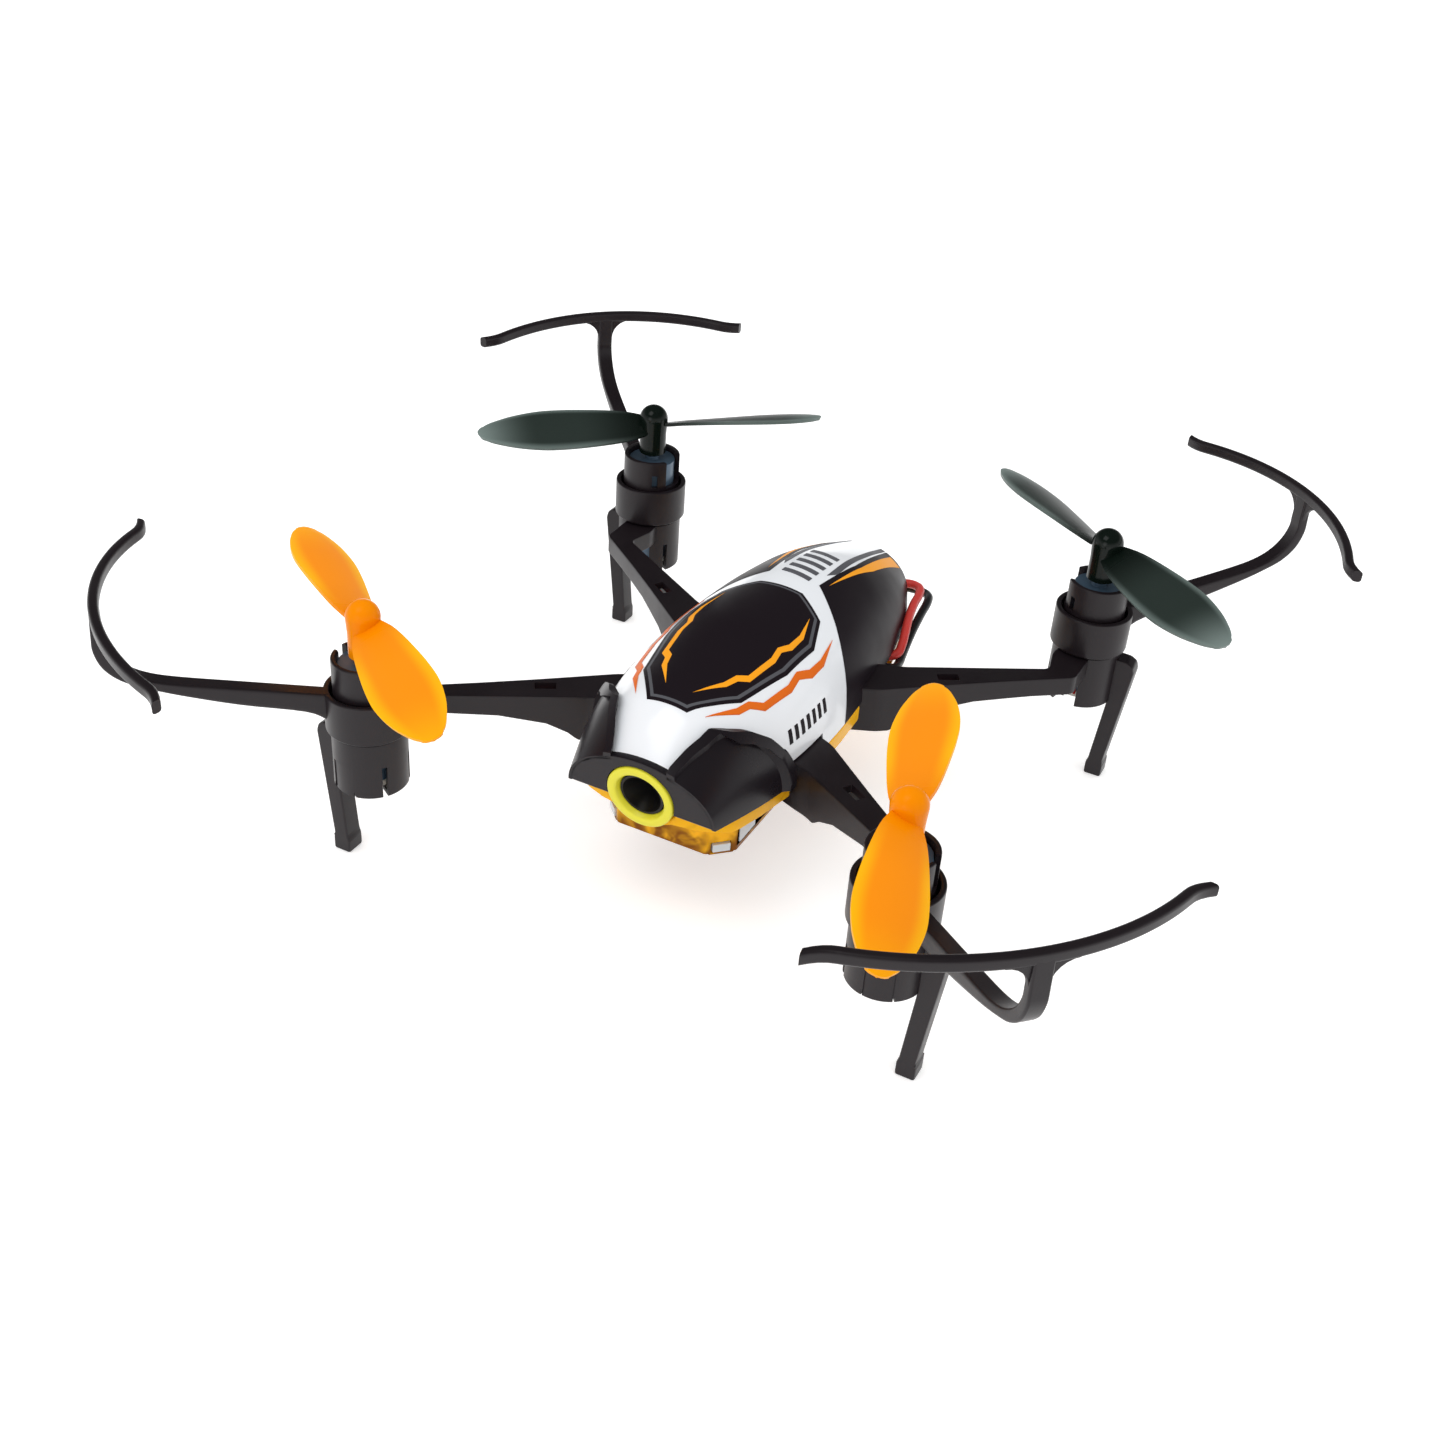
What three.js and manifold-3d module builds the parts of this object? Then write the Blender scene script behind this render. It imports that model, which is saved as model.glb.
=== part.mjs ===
// Micro racing drone with a camera: moulded frame, guards, motors, propellers, canopy and electronics.
// Millimetres, +Z up, nose towards -Y. The origin is on the ground, midway between the four motors.
import * as THREE from 'three';
import { mergeVertices } from 'three/addons/utils/BufferGeometryUtils.js';
import Module from 'manifold-3d';

const wasm = await Module();
wasm.setup();

// Clearances
const restGap = 0.3; // between pieces that touch or are cut by each other
const slipGap = 0.1; // radial, between turned pieces on one axis
const overrun = 1; // how far a cutting tool runs past what it cuts

// Frame: arms, motor pods and legs in one moulding
const hubReach = 36.3; // motor axis from the middle, along X and along Y
const frameTop = 21.2; // height of the arms' flat top
const armRootDepth = 7; // arm's side height at its root
const armRoof = 1.1; // thickness of the arm's top over its channel
const armWall = 0.8; // thickness of the arm's side walls
const armSlotLength = 3; // slot through the arm's top
const armSlotWidth = 1.5;
const podBase = 13; // height of the pod's lower rim
const podRim = 31.6; // height of the pod's upper rim
const podLowerRadius = 4.85;
const podUpperRadius = 4.3;
const podBore = 3.6; // bore radius that grips the motor
const podLeadBore = 4.25; // wider bore low in the pod, where the motor leads run
const podLipRadius = 2.9; // opening of the lip below the motor
const podLipHeight = 0.6;
const frontSlotWidth = 1.6; // slot down from a front pod's upper rim
const rearSlotWidth = 4.4; // wider slot in a rear pod's upper rim
const podSlotDepth = 4.3;
const reliefWidth = 0.7; // slots up from the lower rim
const reliefHeight = 4.6;
const reliefAngles = [-62, -122]; // degrees from the pod's inner face
const leadWindowWidth = 2.4; // window where the motor leads enter the pod
const leadWindowHeight = 2.3;
const sightWindowWidth = 0.9; // small window high in the pod
const sightWindowHeight = 2.2;
const footThickness = 2.8; // leg's thickness along Y
const footSpread = 6; // foot's outer edge from the motor axis
const footHeight = 2; // height of the flared foot pad
const rearLegShift = 0.7; // rear legs stand a little behind their motor axis
const trayLength = 31; // ring of the frame inside the body, as wide as the shell lets it be
const trayTop = 18.8;
const trayThickness = 1.7;
const trayRim = 2; // width of the tray's ring
const trayBarWidth = 2.4; // bars across the tray that carry the battery
const trayBarPlace = 10.5; // bars' middle from the tray's middle, forwards and backwards

// Guards
const guardRingHeight = 5.6;
const guardRingWall = 0.75;
const guardReach = 31.8; // stem's outer face from the motor axis
const guardTop = 42.9; // top of the curved bar at its middle
const guardArmWidth = 2.3;
const guardStemThickness = 1.4;
const guardBarRadius = 35; // radius of the bar's curve
const guardBarSpan = 36.8; // degrees of the bar either side of its middle
const guardBarThickness = 1.25;
const guardBarHeight = 1.6;
const guardBarDroop = 0.9; // how far the bar's ends lie below its middle
const guardTipFlare = 1.2; // how far the bar's ends turn outwards
const guardTipLength = 5; // degrees of the bar that flare
const gussetWidth = 8; // fillet between stem and bar, end to end
const gussetHeight = 2.9;

// Motors, 7 mm cans
const canRadius = 3.5;
const canWall = 0.3;
const canBase = 14.8;
const canTop = 30.8;
const bushRadius = 1.1;
const bushHeight = 0.5;
const shaftRadius = 0.4;
const endCapFlange = 0.8;
const endCapSpigot = 1;
const magnetRadius = 1.9;
const coilRadius = 2.9;
const coilWall = 0.7;
const coilLength = 11;
const coilHub = 1;
const commutatorRadius = 0.9;
const commutatorLength = 1.2;
const leadRadius = 0.25; // motor leads

// Propellers
const propRadius = 27.7;
const propPlane = 36.3; // height of the blades' middle
const propHubTop = 39.45;
const propDomeRadius = 2.2;
const propSkirtRadius = 2.05;
const propHubGap = 0.6; // between the motor's bush and the propeller's skirt
const shaftInHub = 5.6; // how deep the shaft sits in the propeller
const bladeChord = 8.3;
const bladeThickness = 0.9;
const bladeCamber = 0.5;
const rootPitch = 27; // degrees
const tipPitch = 13;

// Body
const bodyBase = 19; // height of the canopy's lower edge
const canopyNose = -31;
const canopyTail = 38.4;
const canopyRise = 14.1;
const canopyHalfWidth = 14.1;
const canopyWall = 0.8;
const hoodGap = 0.3; // cheek's inside off the canopy
const hoodThickness = 0.6;
const hoodPlateTop = 26;
const hoodPlateFace = -29.9; // front face at the plate's foot
const hoodPlateThickness = 1;
const noseTilt = 9; // degrees that the front plate leans forward
const shellFloor = 16.2; // underside of the amber shell's rim
const shellWall = 0.9;
const shellNose = -28.6;
const shellNoseLength = 4.1;
const shellTail = 37.4;
const bellyBase = 9.8;
const bellyHalfWidth = 9.5;
const bellyFront = -24;
const bellyBack = 20;
const bellyCorner = 3; // flat corners
const leadNotchFront = 17.6; // gap in the shell's rim for the battery leads
const leadNotchBack = 22.7;
const windowLength = 4.6; // clear light windows in the belly's sides
const windowHeight = 3.4;
const windowSetback = 3.3; // from the belly's front
const cornerWindowWidth = 2.6; // clear light windows on the belly's front corners
const cornerWindowHeight = 1.4;
const windowProud = 0.2;

// Camera
const ringRadius = 4.64;
const ringBore = 3.12;
const ringFront = 0.4; // how far the ring stands before the plate
const ringBack = 3;
const ringCentreHeight = 20.3;
const ringCentreDepth = -30;
const barrelFront = -0.3;
const barrelBack = 5.3;
const barrelMouth = 2.7;
const recessDepth = 3.1;
const glassRadius = 1.2;
const glassLength = 1.6;
const cameraSize = 7.4;
const cameraDepth = 3;
const cameraBoardSize = 8.6;
const boardThickness = 0.8;

// Electronics
const boardHalfWidth = 8;
const boardFront = -21.6;
const boardBack = 18;
const bossRadius = 1.3;
const bossHeight = 2.4;
const bossInset = 1.8;
const screwRadius = 0.45;
const screwHeadRadius = 0.95;
const screwHeadHeight = 0.6;
const screwLength = 2.6;
const batteryWidth = 16;
const batteryLength = 36;
const batteryHeight = 6;
const batteryFront = -9;
const batteryCorner = 1.2;
const plugWidth = 5;
const plugHeight = 3;
const plugLength = 4;
const plugPlace = 3.6; // plug's middle from the body's middle
const powerLeadRadius = 0.65;

const turnSteps = 24;
const smallSteps = 14;
const tinySteps = 8;
const degree = Math.PI / 180;

const material = (color, roughness, metalness = 0) =>
  new THREE.MeshStandardMaterial({ color, roughness, metalness });
const framePlastic = () => material(0x2b2628, 0.45);
const frontPropPlastic = () => material(0xff9a00, 0.35);
const rearPropPlastic = () => material(0x1c2620, 0.35);

const drone = new THREE.Group();

// Geometry to solid and back, so that pieces can be joined and cut
function solid(geometry) {
  const bare = geometry.clone();
  bare.deleteAttribute('normal');
  bare.deleteAttribute('uv');
  const merged = mergeVertices(bare);
  return new wasm.Manifold(new wasm.Mesh({
    numProp: 3,
    vertProperties: merged.attributes.position.array,
    triVerts: new Uint32Array(merged.index.array),
  }));
}

function geometryOf(shape) {
  const mesh = shape.getMesh();
  const geometry = new THREE.BufferGeometry();
  geometry.setAttribute('position', new THREE.BufferAttribute(mesh.vertProperties, 3));
  geometry.setIndex(new THREE.BufferAttribute(mesh.triVerts, 1));
  return geometry;
}

const join = (first, ...others) => others.reduce((sum, other) => sum.add(other), first);
const cut = (first, ...others) => others.reduce((rest, other) => rest.subtract(other), first);

// A solid moved, turned or mirrored by a matrix; a mirror turns its faces round again
function moved(shape, matrix) {
  const geometry = geometryOf(shape).applyMatrix4(matrix);
  if (matrix.determinant() < 0) {
    geometry.setIndex(Array.from(geometry.index.array).reverse());
  }
  return solid(geometry);
}

const mirrored = (shape, sideX, sideY) => moved(shape, new THREE.Matrix4().makeScale(sideX, sideY, 1));
const shifted = (shape, x, y, z) => moved(shape, new THREE.Matrix4().makeTranslation(x, y, z));

// Adds a named piece to the drone
function place(name, shape, look) {
  const geometry = geometryOf(shape);
  geometry.computeVertexNormals();
  const mesh = new THREE.Mesh(geometry, look);
  mesh.name = name;
  drone.add(mesh);
  return mesh;
}

// An outline in X and Y, extruded upwards
function prism(points, low, high) {
  const shape = new THREE.Shape(points.map(([x, y]) => new THREE.Vector2(x, y)));
  const geometry = new THREE.ExtrudeGeometry(shape, { depth: high - low, bevelEnabled: false });
  return solid(geometry.translate(0, 0, low));
}

// An outline in X and Z, extruded along Y
function sidePrism(points, front, back) {
  const shape = new THREE.Shape(points.map(([x, z]) => new THREE.Vector2(x, z)));
  const geometry = new THREE.ExtrudeGeometry(shape, { depth: back - front, bevelEnabled: false });
  return solid(geometry.rotateX(Math.PI / 2).translate(0, back, 0));
}

// An outline in Y and Z, extruded along X
function crossPrism(points, from, to) {
  const shape = new THREE.Shape(points.map(([y, z]) => new THREE.Vector2(y, z)));
  const geometry = new THREE.ExtrudeGeometry(shape, { depth: to - from, bevelEnabled: false });
  return solid(geometry.rotateX(Math.PI / 2).rotateZ(Math.PI / 2).translate(from, 0, 0));
}

function box(width, depth, low, high, x = 0, y = 0) {
  const geometry = new THREE.BoxGeometry(width, depth, high - low);
  return solid(geometry.translate(x, y, (low + high) / 2));
}

// A profile of radius and height, turned about the Z axis
function turned(profile, steps = turnSteps) {
  const points = profile.map(([radius, z]) => new THREE.Vector2(radius, z));
  points.push(points[0].clone());
  return solid(new THREE.LatheGeometry(points, steps).rotateX(Math.PI / 2));
}

const disc = (radius, low, high, steps) =>
  turned([[0, low], [radius, low], [radius, high], [0, high]], steps);
const tube = (inner, outer, low, high, steps) =>
  turned([[inner, low], [outer, low], [outer, high], [inner, high]], steps);

// A solid through closed rings of equal count, with a fan of triangles over each end
function loft(rings) {
  const count = rings[0].length;
  const last = (rings.length - 1) * count;
  const vertices = rings.flat();
  const faces = [];
  for (let ring = 0; ring < rings.length - 1; ring += 1) {
    for (let i = 0; i < count; i += 1) {
      const a = ring * count + i;
      const b = ring * count + ((i + 1) % count);
      faces.push(a, b, b + count, a, b + count, a + count);
    }
  }
  for (let i = 1; i < count - 1; i += 1) {
    faces.push(0, i + 1, i, last, last + i, last + i + 1);
  }
  const volume = faces.reduce((sum, _, i) => {
    if (i % 3) return sum;
    const [a, b, c] = [vertices[faces[i]], vertices[faces[i + 1]], vertices[faces[i + 2]]];
    return sum + a.dot(new THREE.Vector3().crossVectors(b, c));
  }, 0);
  if (volume < 0) faces.reverse();
  const geometry = new THREE.BufferGeometry().setFromPoints(vertices);
  geometry.setIndex(faces);
  return solid(geometry);
}

// A wire through points chosen by hand
function wire(points, radius, steps, sides) {
  const curve = new THREE.CatmullRomCurve3(points.map((point) => new THREE.Vector3(...point)));
  const section = new THREE.Shape();
  section.absarc(0, 0, radius, 0, 2 * Math.PI);
  const options = { steps, extrudePath: curve, curveSegments: sides / 2, bevelEnabled: false };
  return solid(new THREE.ExtrudeGeometry(section, options));
}

// The outline moved outwards by a distance, inwards where it is negative
function offsetOutline(points, distance) {
  return points.map((point, i) => {
    const before = points[(i + points.length - 1) % points.length];
    const after = points[(i + 1) % points.length];
    const [ax, ay] = edgeNormal(before, point);
    const [bx, by] = edgeNormal(point, after);
    const reach = distance / (1 + ax * bx + ay * by);
    return [point[0] + (ax + bx) * reach, point[1] + (ay + by) * reach];
  });
}

function edgeNormal([ax, ay], [bx, by]) {
  const length = Math.hypot(bx - ax, by - ay);
  return [(by - ay) / length, (ax - bx) / length];
}

// Rounded rectangle between two corners
function roundedOutline(left, front, right, back, corner, steps = 4) {
  const centres = [[right - corner, front + corner], [right - corner, back - corner],
    [left + corner, back - corner], [left + corner, front + corner]];
  return centres.flatMap(([x, y], quarter) => Array.from({ length: steps + 1 }, (_, i) => {
    const angle = (quarter - 1 + i / steps) * Math.PI / 2;
    return [x + corner * Math.cos(angle), y + corner * Math.sin(angle)];
  }));
}

// Body curves: the canopy's half width and top height along its length
const canopyLength = canopyTail - canopyNose;
const canopyShares = [
  { along: 0, rise: 0.5, width: 0.66 },
  { along: 0.091, rise: 0.826, width: 0.801 },
  { along: 0.15, rise: 0.894, width: 0.879 },
  { along: 0.231, rise: 0.929, width: 0.957 },
  { along: 0.3, rise: 0.967, width: 0.99 },
  { along: 0.369, rise: 1, width: 1 },
  { along: 0.447, rise: 0.995, width: 1 },
  { along: 0.537, rise: 0.972, width: 0.979 },
  { along: 0.617, rise: 0.943, width: 0.95 },
  { along: 0.7, rise: 0.894, width: 0.901 },
  { along: 0.781, rise: 0.823, width: 0.844 },
  { along: 0.893, rise: 0.655, width: 0.73 },
  { along: 1, rise: 0.47, width: 0.53 },
];

// Linear reading of one column of the table at a place along the body
function canopyAt(y, column) {
  const along = (y - canopyNose) / canopyLength;
  const last = canopyShares.length - 1;
  const next = canopyShares.findIndex((row, i) => i > 0 && (row.along >= along || i === last));
  const [low, high] = [canopyShares[next - 1], canopyShares[next]];
  const part = (along - low.along) / (high.along - low.along);
  return low[column] + (high[column] - low[column]) * part;
}

const widthAt = (y) => canopyHalfWidth * canopyAt(y, 'width');
const topAt = (y) => bodyBase + canopyRise * canopyAt(y, 'rise');

// A half-elliptic ring of the canopy's skin, moved outwards by the offset
function canopyRing(y, offset, base) {
  const steps = 20;
  const [halfWidth, rise] = [widthAt(y) + offset, topAt(y) + offset - bodyBase];
  const ring = Array.from({ length: steps + 1 }, (_, i) => {
    const angle = i / steps * Math.PI;
    return new THREE.Vector3(halfWidth * Math.cos(angle), y, bodyBase + rise * Math.sin(angle));
  });
  if (base < bodyBase) {
    ring.push(new THREE.Vector3(-halfWidth, y, base), new THREE.Vector3(halfWidth, y, base));
  }
  return ring;
}

function canopyBody(offset, base = bodyBase, runPast = 0) {
  const places = canopyShares.map((row) => canopyNose + canopyLength * row.along);
  if (runPast) {
    places.unshift(canopyNose - runPast);
    places.push(canopyTail + runPast);
  }
  return loft(places.map((y) => canopyRing(y, offset, base)));
}

// Front plate's plane: how far forward it stands at a height
const plateFaceAt = (z) => hoodPlateFace - (z - bodyBase) * Math.tan(noseTilt * degree);
const cameraTurn = new THREE.Matrix4().makeRotationX((90 + noseTilt) * degree);
const cameraPlace = new THREE.Matrix4()
  .makeTranslation(0, ringCentreDepth, ringCentreHeight).multiply(cameraTurn);

// The frame's ring fills the shell
const trayHalfWidth = widthAt(trayLength / 2) - shellWall - restGap;

// Arm in the quarter where X and Y are positive: its root on the ring, in shares of the ring's
// half length, and its outline in shares of the motor's reach
const armRootShares = [0.35, 0.855];
const armOutlineShares = [[0.441, 0.218], [0.68, 0.421], [0.835, 0.548], [1.044, 0.7135],
  [1.047, 0.876], [1.03, 0.95], [0.92, 0.95], [0.9036, 0.8485], [0.931, 0.7245], [0.683, 0.57],
  [0.4435, 0.4215], [0.38, 0.4]];
const [armRootFront, armRootBack] = armRootShares.map((share) =>
  [trayHalfWidth - trayRim / 2, share * trayLength / 2]);
const armOutline = [armRootFront, ...armOutlineShares.map(([x, y]) => [x * hubReach, y * hubReach]),
  armRootBack];
// Depth of the arm's side below its top, as shares of the motor's reach and of the root's depth
const armUndersideShares = [[1.2, 0.41], [0.91, 0.41], [0.73, 0.457], [0.58, 0.63], [0.515, 0.83],
  [0.492, 0.94], [0.48, 1]];
const armSlotShares = [0.6226, 0.4435]; // the slot's middle, of the motor's reach
const [armEdgeOuter, armEdgeInner] = [armOutline[10], armOutline[11]]; // ends of the arm's straight edge
const armHeading = Math.atan2(armEdgeOuter[1] - armEdgeInner[1], armEdgeOuter[0] - armEdgeInner[0]);

function armSolid() {
  const underside = armUndersideShares.map(([x, depth]) => [x * hubReach, frameTop - depth * armRootDepth]);
  const far = underside[0][0];
  const side = [[0, frameTop], [0, frameTop - armRootDepth], ...underside.reverse(), [far, frameTop]];
  return prism(armOutline, podBase, frameTop).intersect(sidePrism(side, 0, 2 * hubReach));
}

function armChannel() {
  return prism(offsetOutline(armOutline, -armWall), podBase - overrun, frameTop - armRoof);
}

// Opens the channel into the body, above the tray
function armMouth() {
  const [near, far] = [armOutline[0], armOutline.at(-1)];
  const outline = [[near[0] - overrun, near[1] + 2 * armWall], [near[0] + 2 * overrun, near[1] + 3 * armWall],
    [far[0] + 2 * overrun, far[1] - armWall], [far[0] - overrun, far[1] - armWall]];
  return prism(outline, trayTop, frameTop - armRoof);
}

function armSlot() {
  const half = armSlotLength / 2;
  const side = armSlotWidth / 2;
  const outline = roundedOutline(-half, -side, half, side, side - slipGap / 2);
  const slot = prism(outline, frameTop - armRoof - overrun, frameTop + overrun);
  const [x, y] = armSlotShares.map((share) => share * hubReach);
  return moved(slot, new THREE.Matrix4().makeTranslation(x, y, 0)
    .multiply(new THREE.Matrix4().makeRotationZ(armHeading)));
}

// Leg beside the pod, standing outwards; shares are of the foot's spread and of the arms' height
const legOuterShares = [[1.26, 0.875], [1.21, 0.925], [1.05, 0.95], [0.75, 0.953]];
const footInnerShare = 0.57; // foot's inner edge
const ankleShares = [0.61, 0.972]; // leg's edges just above the foot
const legTopShare = 0.76; // leg's inner edge at the pod's lower rim

function legSolid() {
  const [ankleInner, ankleOuter] = ankleShares.map((share) => [share * footSpread, footHeight + restGap]);
  const outline = [[footInnerShare * footSpread, 0], [footSpread, 0], [footSpread, footHeight], ankleOuter,
    ...legOuterShares.map(([x, z]) => [x * footSpread, z * frameTop]),
    [legTopShare * footSpread, podBase], ankleInner, [footInnerShare * footSpread, footHeight]];
  return sidePrism(outline, -footThickness / 2, footThickness / 2);
}

// Pod's outside about its own axis
function podSolid() {
  const shoulder = slipGap;
  return turned([[0, podBase], [podLowerRadius, podBase], [podLowerRadius, frameTop - shoulder],
    [podLowerRadius - shoulder, frameTop], [podUpperRadius, frameTop],
    [podUpperRadius, podRim], [0, podRim]]);
}

function podBoreSolid() {
  const lipTop = podBase + podLipHeight;
  const taper = frameTop + podLeadBore - podBore;
  return turned([[0, podBase - overrun], [podLipRadius, podBase - overrun], [podLipRadius, lipTop],
    [podLeadBore, lipTop], [podLeadBore, frameTop], [podBore, taper], [podBore, podRim + overrun],
    [0, podRim + overrun]]);
}

// Slots and windows of a pod; rimSide is the side of the upper slot along X
function podOpenings(rimSide, slotWidth) {
  const wall = podLowerRadius + overrun;
  const rimSlot = box(wall, slotWidth, podRim - podSlotDepth, podRim + overrun, rimSide * wall / 2);
  const leadWindow = box(leadWindowWidth, wall, frameTop - leadWindowHeight - armRoof,
    frameTop - armRoof, 0, -wall / 2);
  const relief = box(reliefWidth, wall, podBase - overrun, podBase + reliefHeight, 0, -wall / 2);
  const reliefs = reliefAngles.map((angle) =>
    moved(relief, new THREE.Matrix4().makeRotationZ(angle * degree)));
  const sight = box(sightWindowWidth, wall, podRim - podSlotDepth, podRim - podSlotDepth + sightWindowHeight,
    0, -wall / 2);
  const sightWindow = moved(sight, new THREE.Matrix4().makeRotationZ(-Math.PI / 5));
  return [rimSlot, leadWindow, sightWindow, ...reliefs];
}

function traySolid() {
  const base = trayTop - trayThickness;
  const corner = trayRim;
  const [halfWidth, halfLength] = [trayHalfWidth, trayLength / 2];
  const plate = prism(roundedOutline(-halfWidth, -halfLength, halfWidth, halfLength, corner), base, trayTop);
  const opening = box(2 * (halfWidth - trayRim), 2 * (halfLength - trayRim),
    base - overrun, trayTop + overrun);
  const bars = [-trayBarPlace, trayBarPlace].map((y) =>
    box(2 * halfWidth - trayRim, trayBarWidth, base, trayTop, 0, y));
  return join(cut(plate, opening), ...bars);
}

function chassisFrame() {
  const arm = armSolid();
  const quarters = [];
  const cuts = [];
  for (const sideX of [-1, 1]) {
    for (const sideY of [-1, 1]) {
      const pod = shifted(podSolid(), hubReach, hubReach, 0);
      const leg = shifted(legSolid(), hubReach, hubReach + (sideY > 0 ? rearLegShift : 0), 0);
      quarters.push(mirrored(join(arm, pod, leg), sideX, sideY));
      const slotWidth = sideY > 0 ? rearSlotWidth : frontSlotWidth;
      const openings = podOpenings(-sideY, slotWidth).map((tool) => shifted(tool, hubReach, hubReach, 0));
      const bore = shifted(podBoreSolid(), hubReach, hubReach, 0);
      cuts.push(...[armChannel(), armMouth(), armSlot(), bore, ...openings]
        .map((tool) => mirrored(tool, sideX, sideY)));
    }
  }
  return cut(join(traySolid(), ...quarters), ...cuts);
}

// Guard about its motor's axis, reaching along +X; shares are of its reach and of its height
const guardBase = frameTop + restGap;
const guardHeight = guardTop - guardBase;
const guardSideShares = [[0.157, 0.078], [0.245, 0.158], [0.49, 0.256], [0.786, 0.411], [0.893, 0.487],
  [0.962, 0.579], [0.994, 0.687], [1, 0.771], [1, 0.925], [0.984, 0.98], [0.953, 0.98], [0.956, 0.771],
  [0.95, 0.705], [0.921, 0.613], [0.868, 0.521], [0.818, 0.473], [0.157, 0.262]];
const gussetBendShare = 0.2; // of the gusset's height, where its edge bends
const gussetWaistShare = 0.5; // of the gusset's width, at that bend
const gussetDepthShare = 0.8; // of the bar's thickness

function guardBar() {
  const steps = 16;
  const middle = guardReach - guardStemThickness + restGap;
  const centre = middle - guardBarRadius;
  const rings = Array.from({ length: steps + 1 }, (_, i) => {
    const turn = (2 * i / steps - 1) * guardBarSpan;
    const flare = Math.max(0, Math.abs(turn) - guardBarSpan + guardTipLength) / guardTipLength;
    const radius = guardBarRadius + guardTipFlare * flare ** 2;
    const top = guardTop - guardBarDroop * (turn / guardBarSpan) ** 2;
    const corner = (side, z) => new THREE.Vector3(
      centre + (radius + side * guardBarThickness / 2) * Math.cos(turn * degree),
      (radius + side * guardBarThickness / 2) * Math.sin(turn * degree), z);
    const low = top - guardBarHeight;
    return [corner(-1, low), corner(1, low), corner(1, top), corner(-1, top)];
  });
  return loft(rings);
}

function guardGusset() {
  const high = guardTop - guardBarHeight / 2;
  const low = guardTop - guardBarHeight - gussetHeight;
  const bend = guardTop - guardBarHeight - gussetBendShare * gussetHeight;
  const waist = gussetWaistShare * gussetWidth / 2;
  const inner = guardReach - guardStemThickness;
  const outline = [[-guardArmWidth / 2, low], [guardArmWidth / 2, low], [waist, bend],
    [gussetWidth / 2, high], [-gussetWidth / 2, high], [-waist, bend]];
  return crossPrism(outline, inner, inner + gussetDepthShare * guardBarThickness);
}

function propGuard() {
  const outer = podUpperRadius + restGap + slipGap + guardRingWall;
  const ring = tube(outer - guardRingWall, outer, guardBase, guardBase + guardRingHeight);
  const side = guardSideShares.map(([reach, height]) =>
    [reach * guardReach, guardBase + height * guardHeight]);
  const arm = sidePrism(side, -guardArmWidth / 2, guardArmWidth / 2);
  return join(ring, arm, guardBar(), guardGusset());
}

// Blade along +X whose leading edge, on the -Y side, is high; shares of the radius and of the chord
const bladeShares = [
  { along: 0.05, chord: 0.48 },
  { along: 0.13, chord: 0.66 },
  { along: 0.22, chord: 0.78 },
  { along: 0.36, chord: 0.9 },
  { along: 0.5, chord: 0.985 },
  { along: 0.64, chord: 1 },
  { along: 0.78, chord: 0.86 },
  { along: 0.88, chord: 0.65 },
  { along: 0.95, chord: 0.42 },
  { along: 1, chord: 0.08 },
];

function bladeRing({ along, chord }) {
  const pitch = (rootPitch + (tipPitch - rootPitch) * along) * degree;
  const length = bladeChord * chord;
  const thick = bladeThickness * (1 - along / 2);
  const around = 8;
  return Array.from({ length: around }, (_, i) => {
    const angle = i / around * 2 * Math.PI;
    const across = Math.cos(angle) * length / 2;
    const camber = bladeCamber * chord * Math.sin(angle) ** 2;
    const normal = camber + Math.sin(angle) * thick / 2 * Math.sqrt(chord);
    return new THREE.Vector3(along * propRadius,
      across * Math.cos(pitch) + normal * Math.sin(pitch),
      propPlane - across * Math.sin(pitch) + normal * Math.cos(pitch));
  });
}

const bushTop = canTop + bushHeight;
const propHubBase = bushTop + propHubGap;
const shaftTop = propHubBase + shaftInHub;
const shaftHole = shaftRadius + slipGap;

function propHub() {
  const domeBase = propHubTop - propDomeRadius;
  const domeSteps = 4;
  const dome = Array.from({ length: domeSteps }, (_, i) => {
    const angle = i / domeSteps * Math.PI / 2;
    return [propDomeRadius * Math.cos(angle), domeBase + propDomeRadius * Math.sin(angle)];
  });
  const waist = domeBase - propDomeRadius;
  return turned([[shaftHole, propHubBase], [propSkirtRadius, propHubBase], [propSkirtRadius, waist],
    ...dome, [0, propHubTop], [0, shaftTop + slipGap], [shaftHole, shaftTop + slipGap]], smallSteps);
}

// spin is 1 for a propeller that turns clockwise seen from above, -1 for the other way
function propeller(spin) {
  const blade = mirrored(loft(bladeShares.map(bladeRing)), 1, spin);
  return join(propHub(), blade, moved(blade, new THREE.Matrix4().makeRotationZ(Math.PI)));
}

// Motor pieces about the motor's axis
const endCapBase = canBase - slipGap - endCapFlange;
const endCapTop = endCapBase + endCapFlange + endCapSpigot;
const rotorBase = endCapTop + restGap;
const coilBase = rotorBase + commutatorLength;

function motorCan() {
  const inner = canRadius - canWall;
  return turned([[inner, canBase], [canRadius, canBase], [canRadius, canTop], [bushRadius, canTop],
    [bushRadius, bushTop], [shaftHole, bushTop], [shaftHole, canTop - canWall],
    [inner, canTop - canWall]], smallSteps);
}

function motorEndCap() {
  const spigot = canRadius - canWall - slipGap;
  const shoulder = endCapBase + endCapFlange;
  return turned([[shaftHole, endCapBase], [canRadius, endCapBase], [canRadius, shoulder],
    [spigot, shoulder], [spigot, endCapTop], [shaftHole, endCapTop]], smallSteps);
}

function motorRotor() {
  const top = coilBase + coilLength;
  const inner = coilRadius - coilWall;
  return turned([[shaftHole, rotorBase], [commutatorRadius, rotorBase], [commutatorRadius, coilBase],
    [coilRadius, coilBase], [coilRadius, top], [inner, top], [inner, coilBase + coilHub],
    [shaftHole, coilBase + coilHub]], smallSteps);
}

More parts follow.
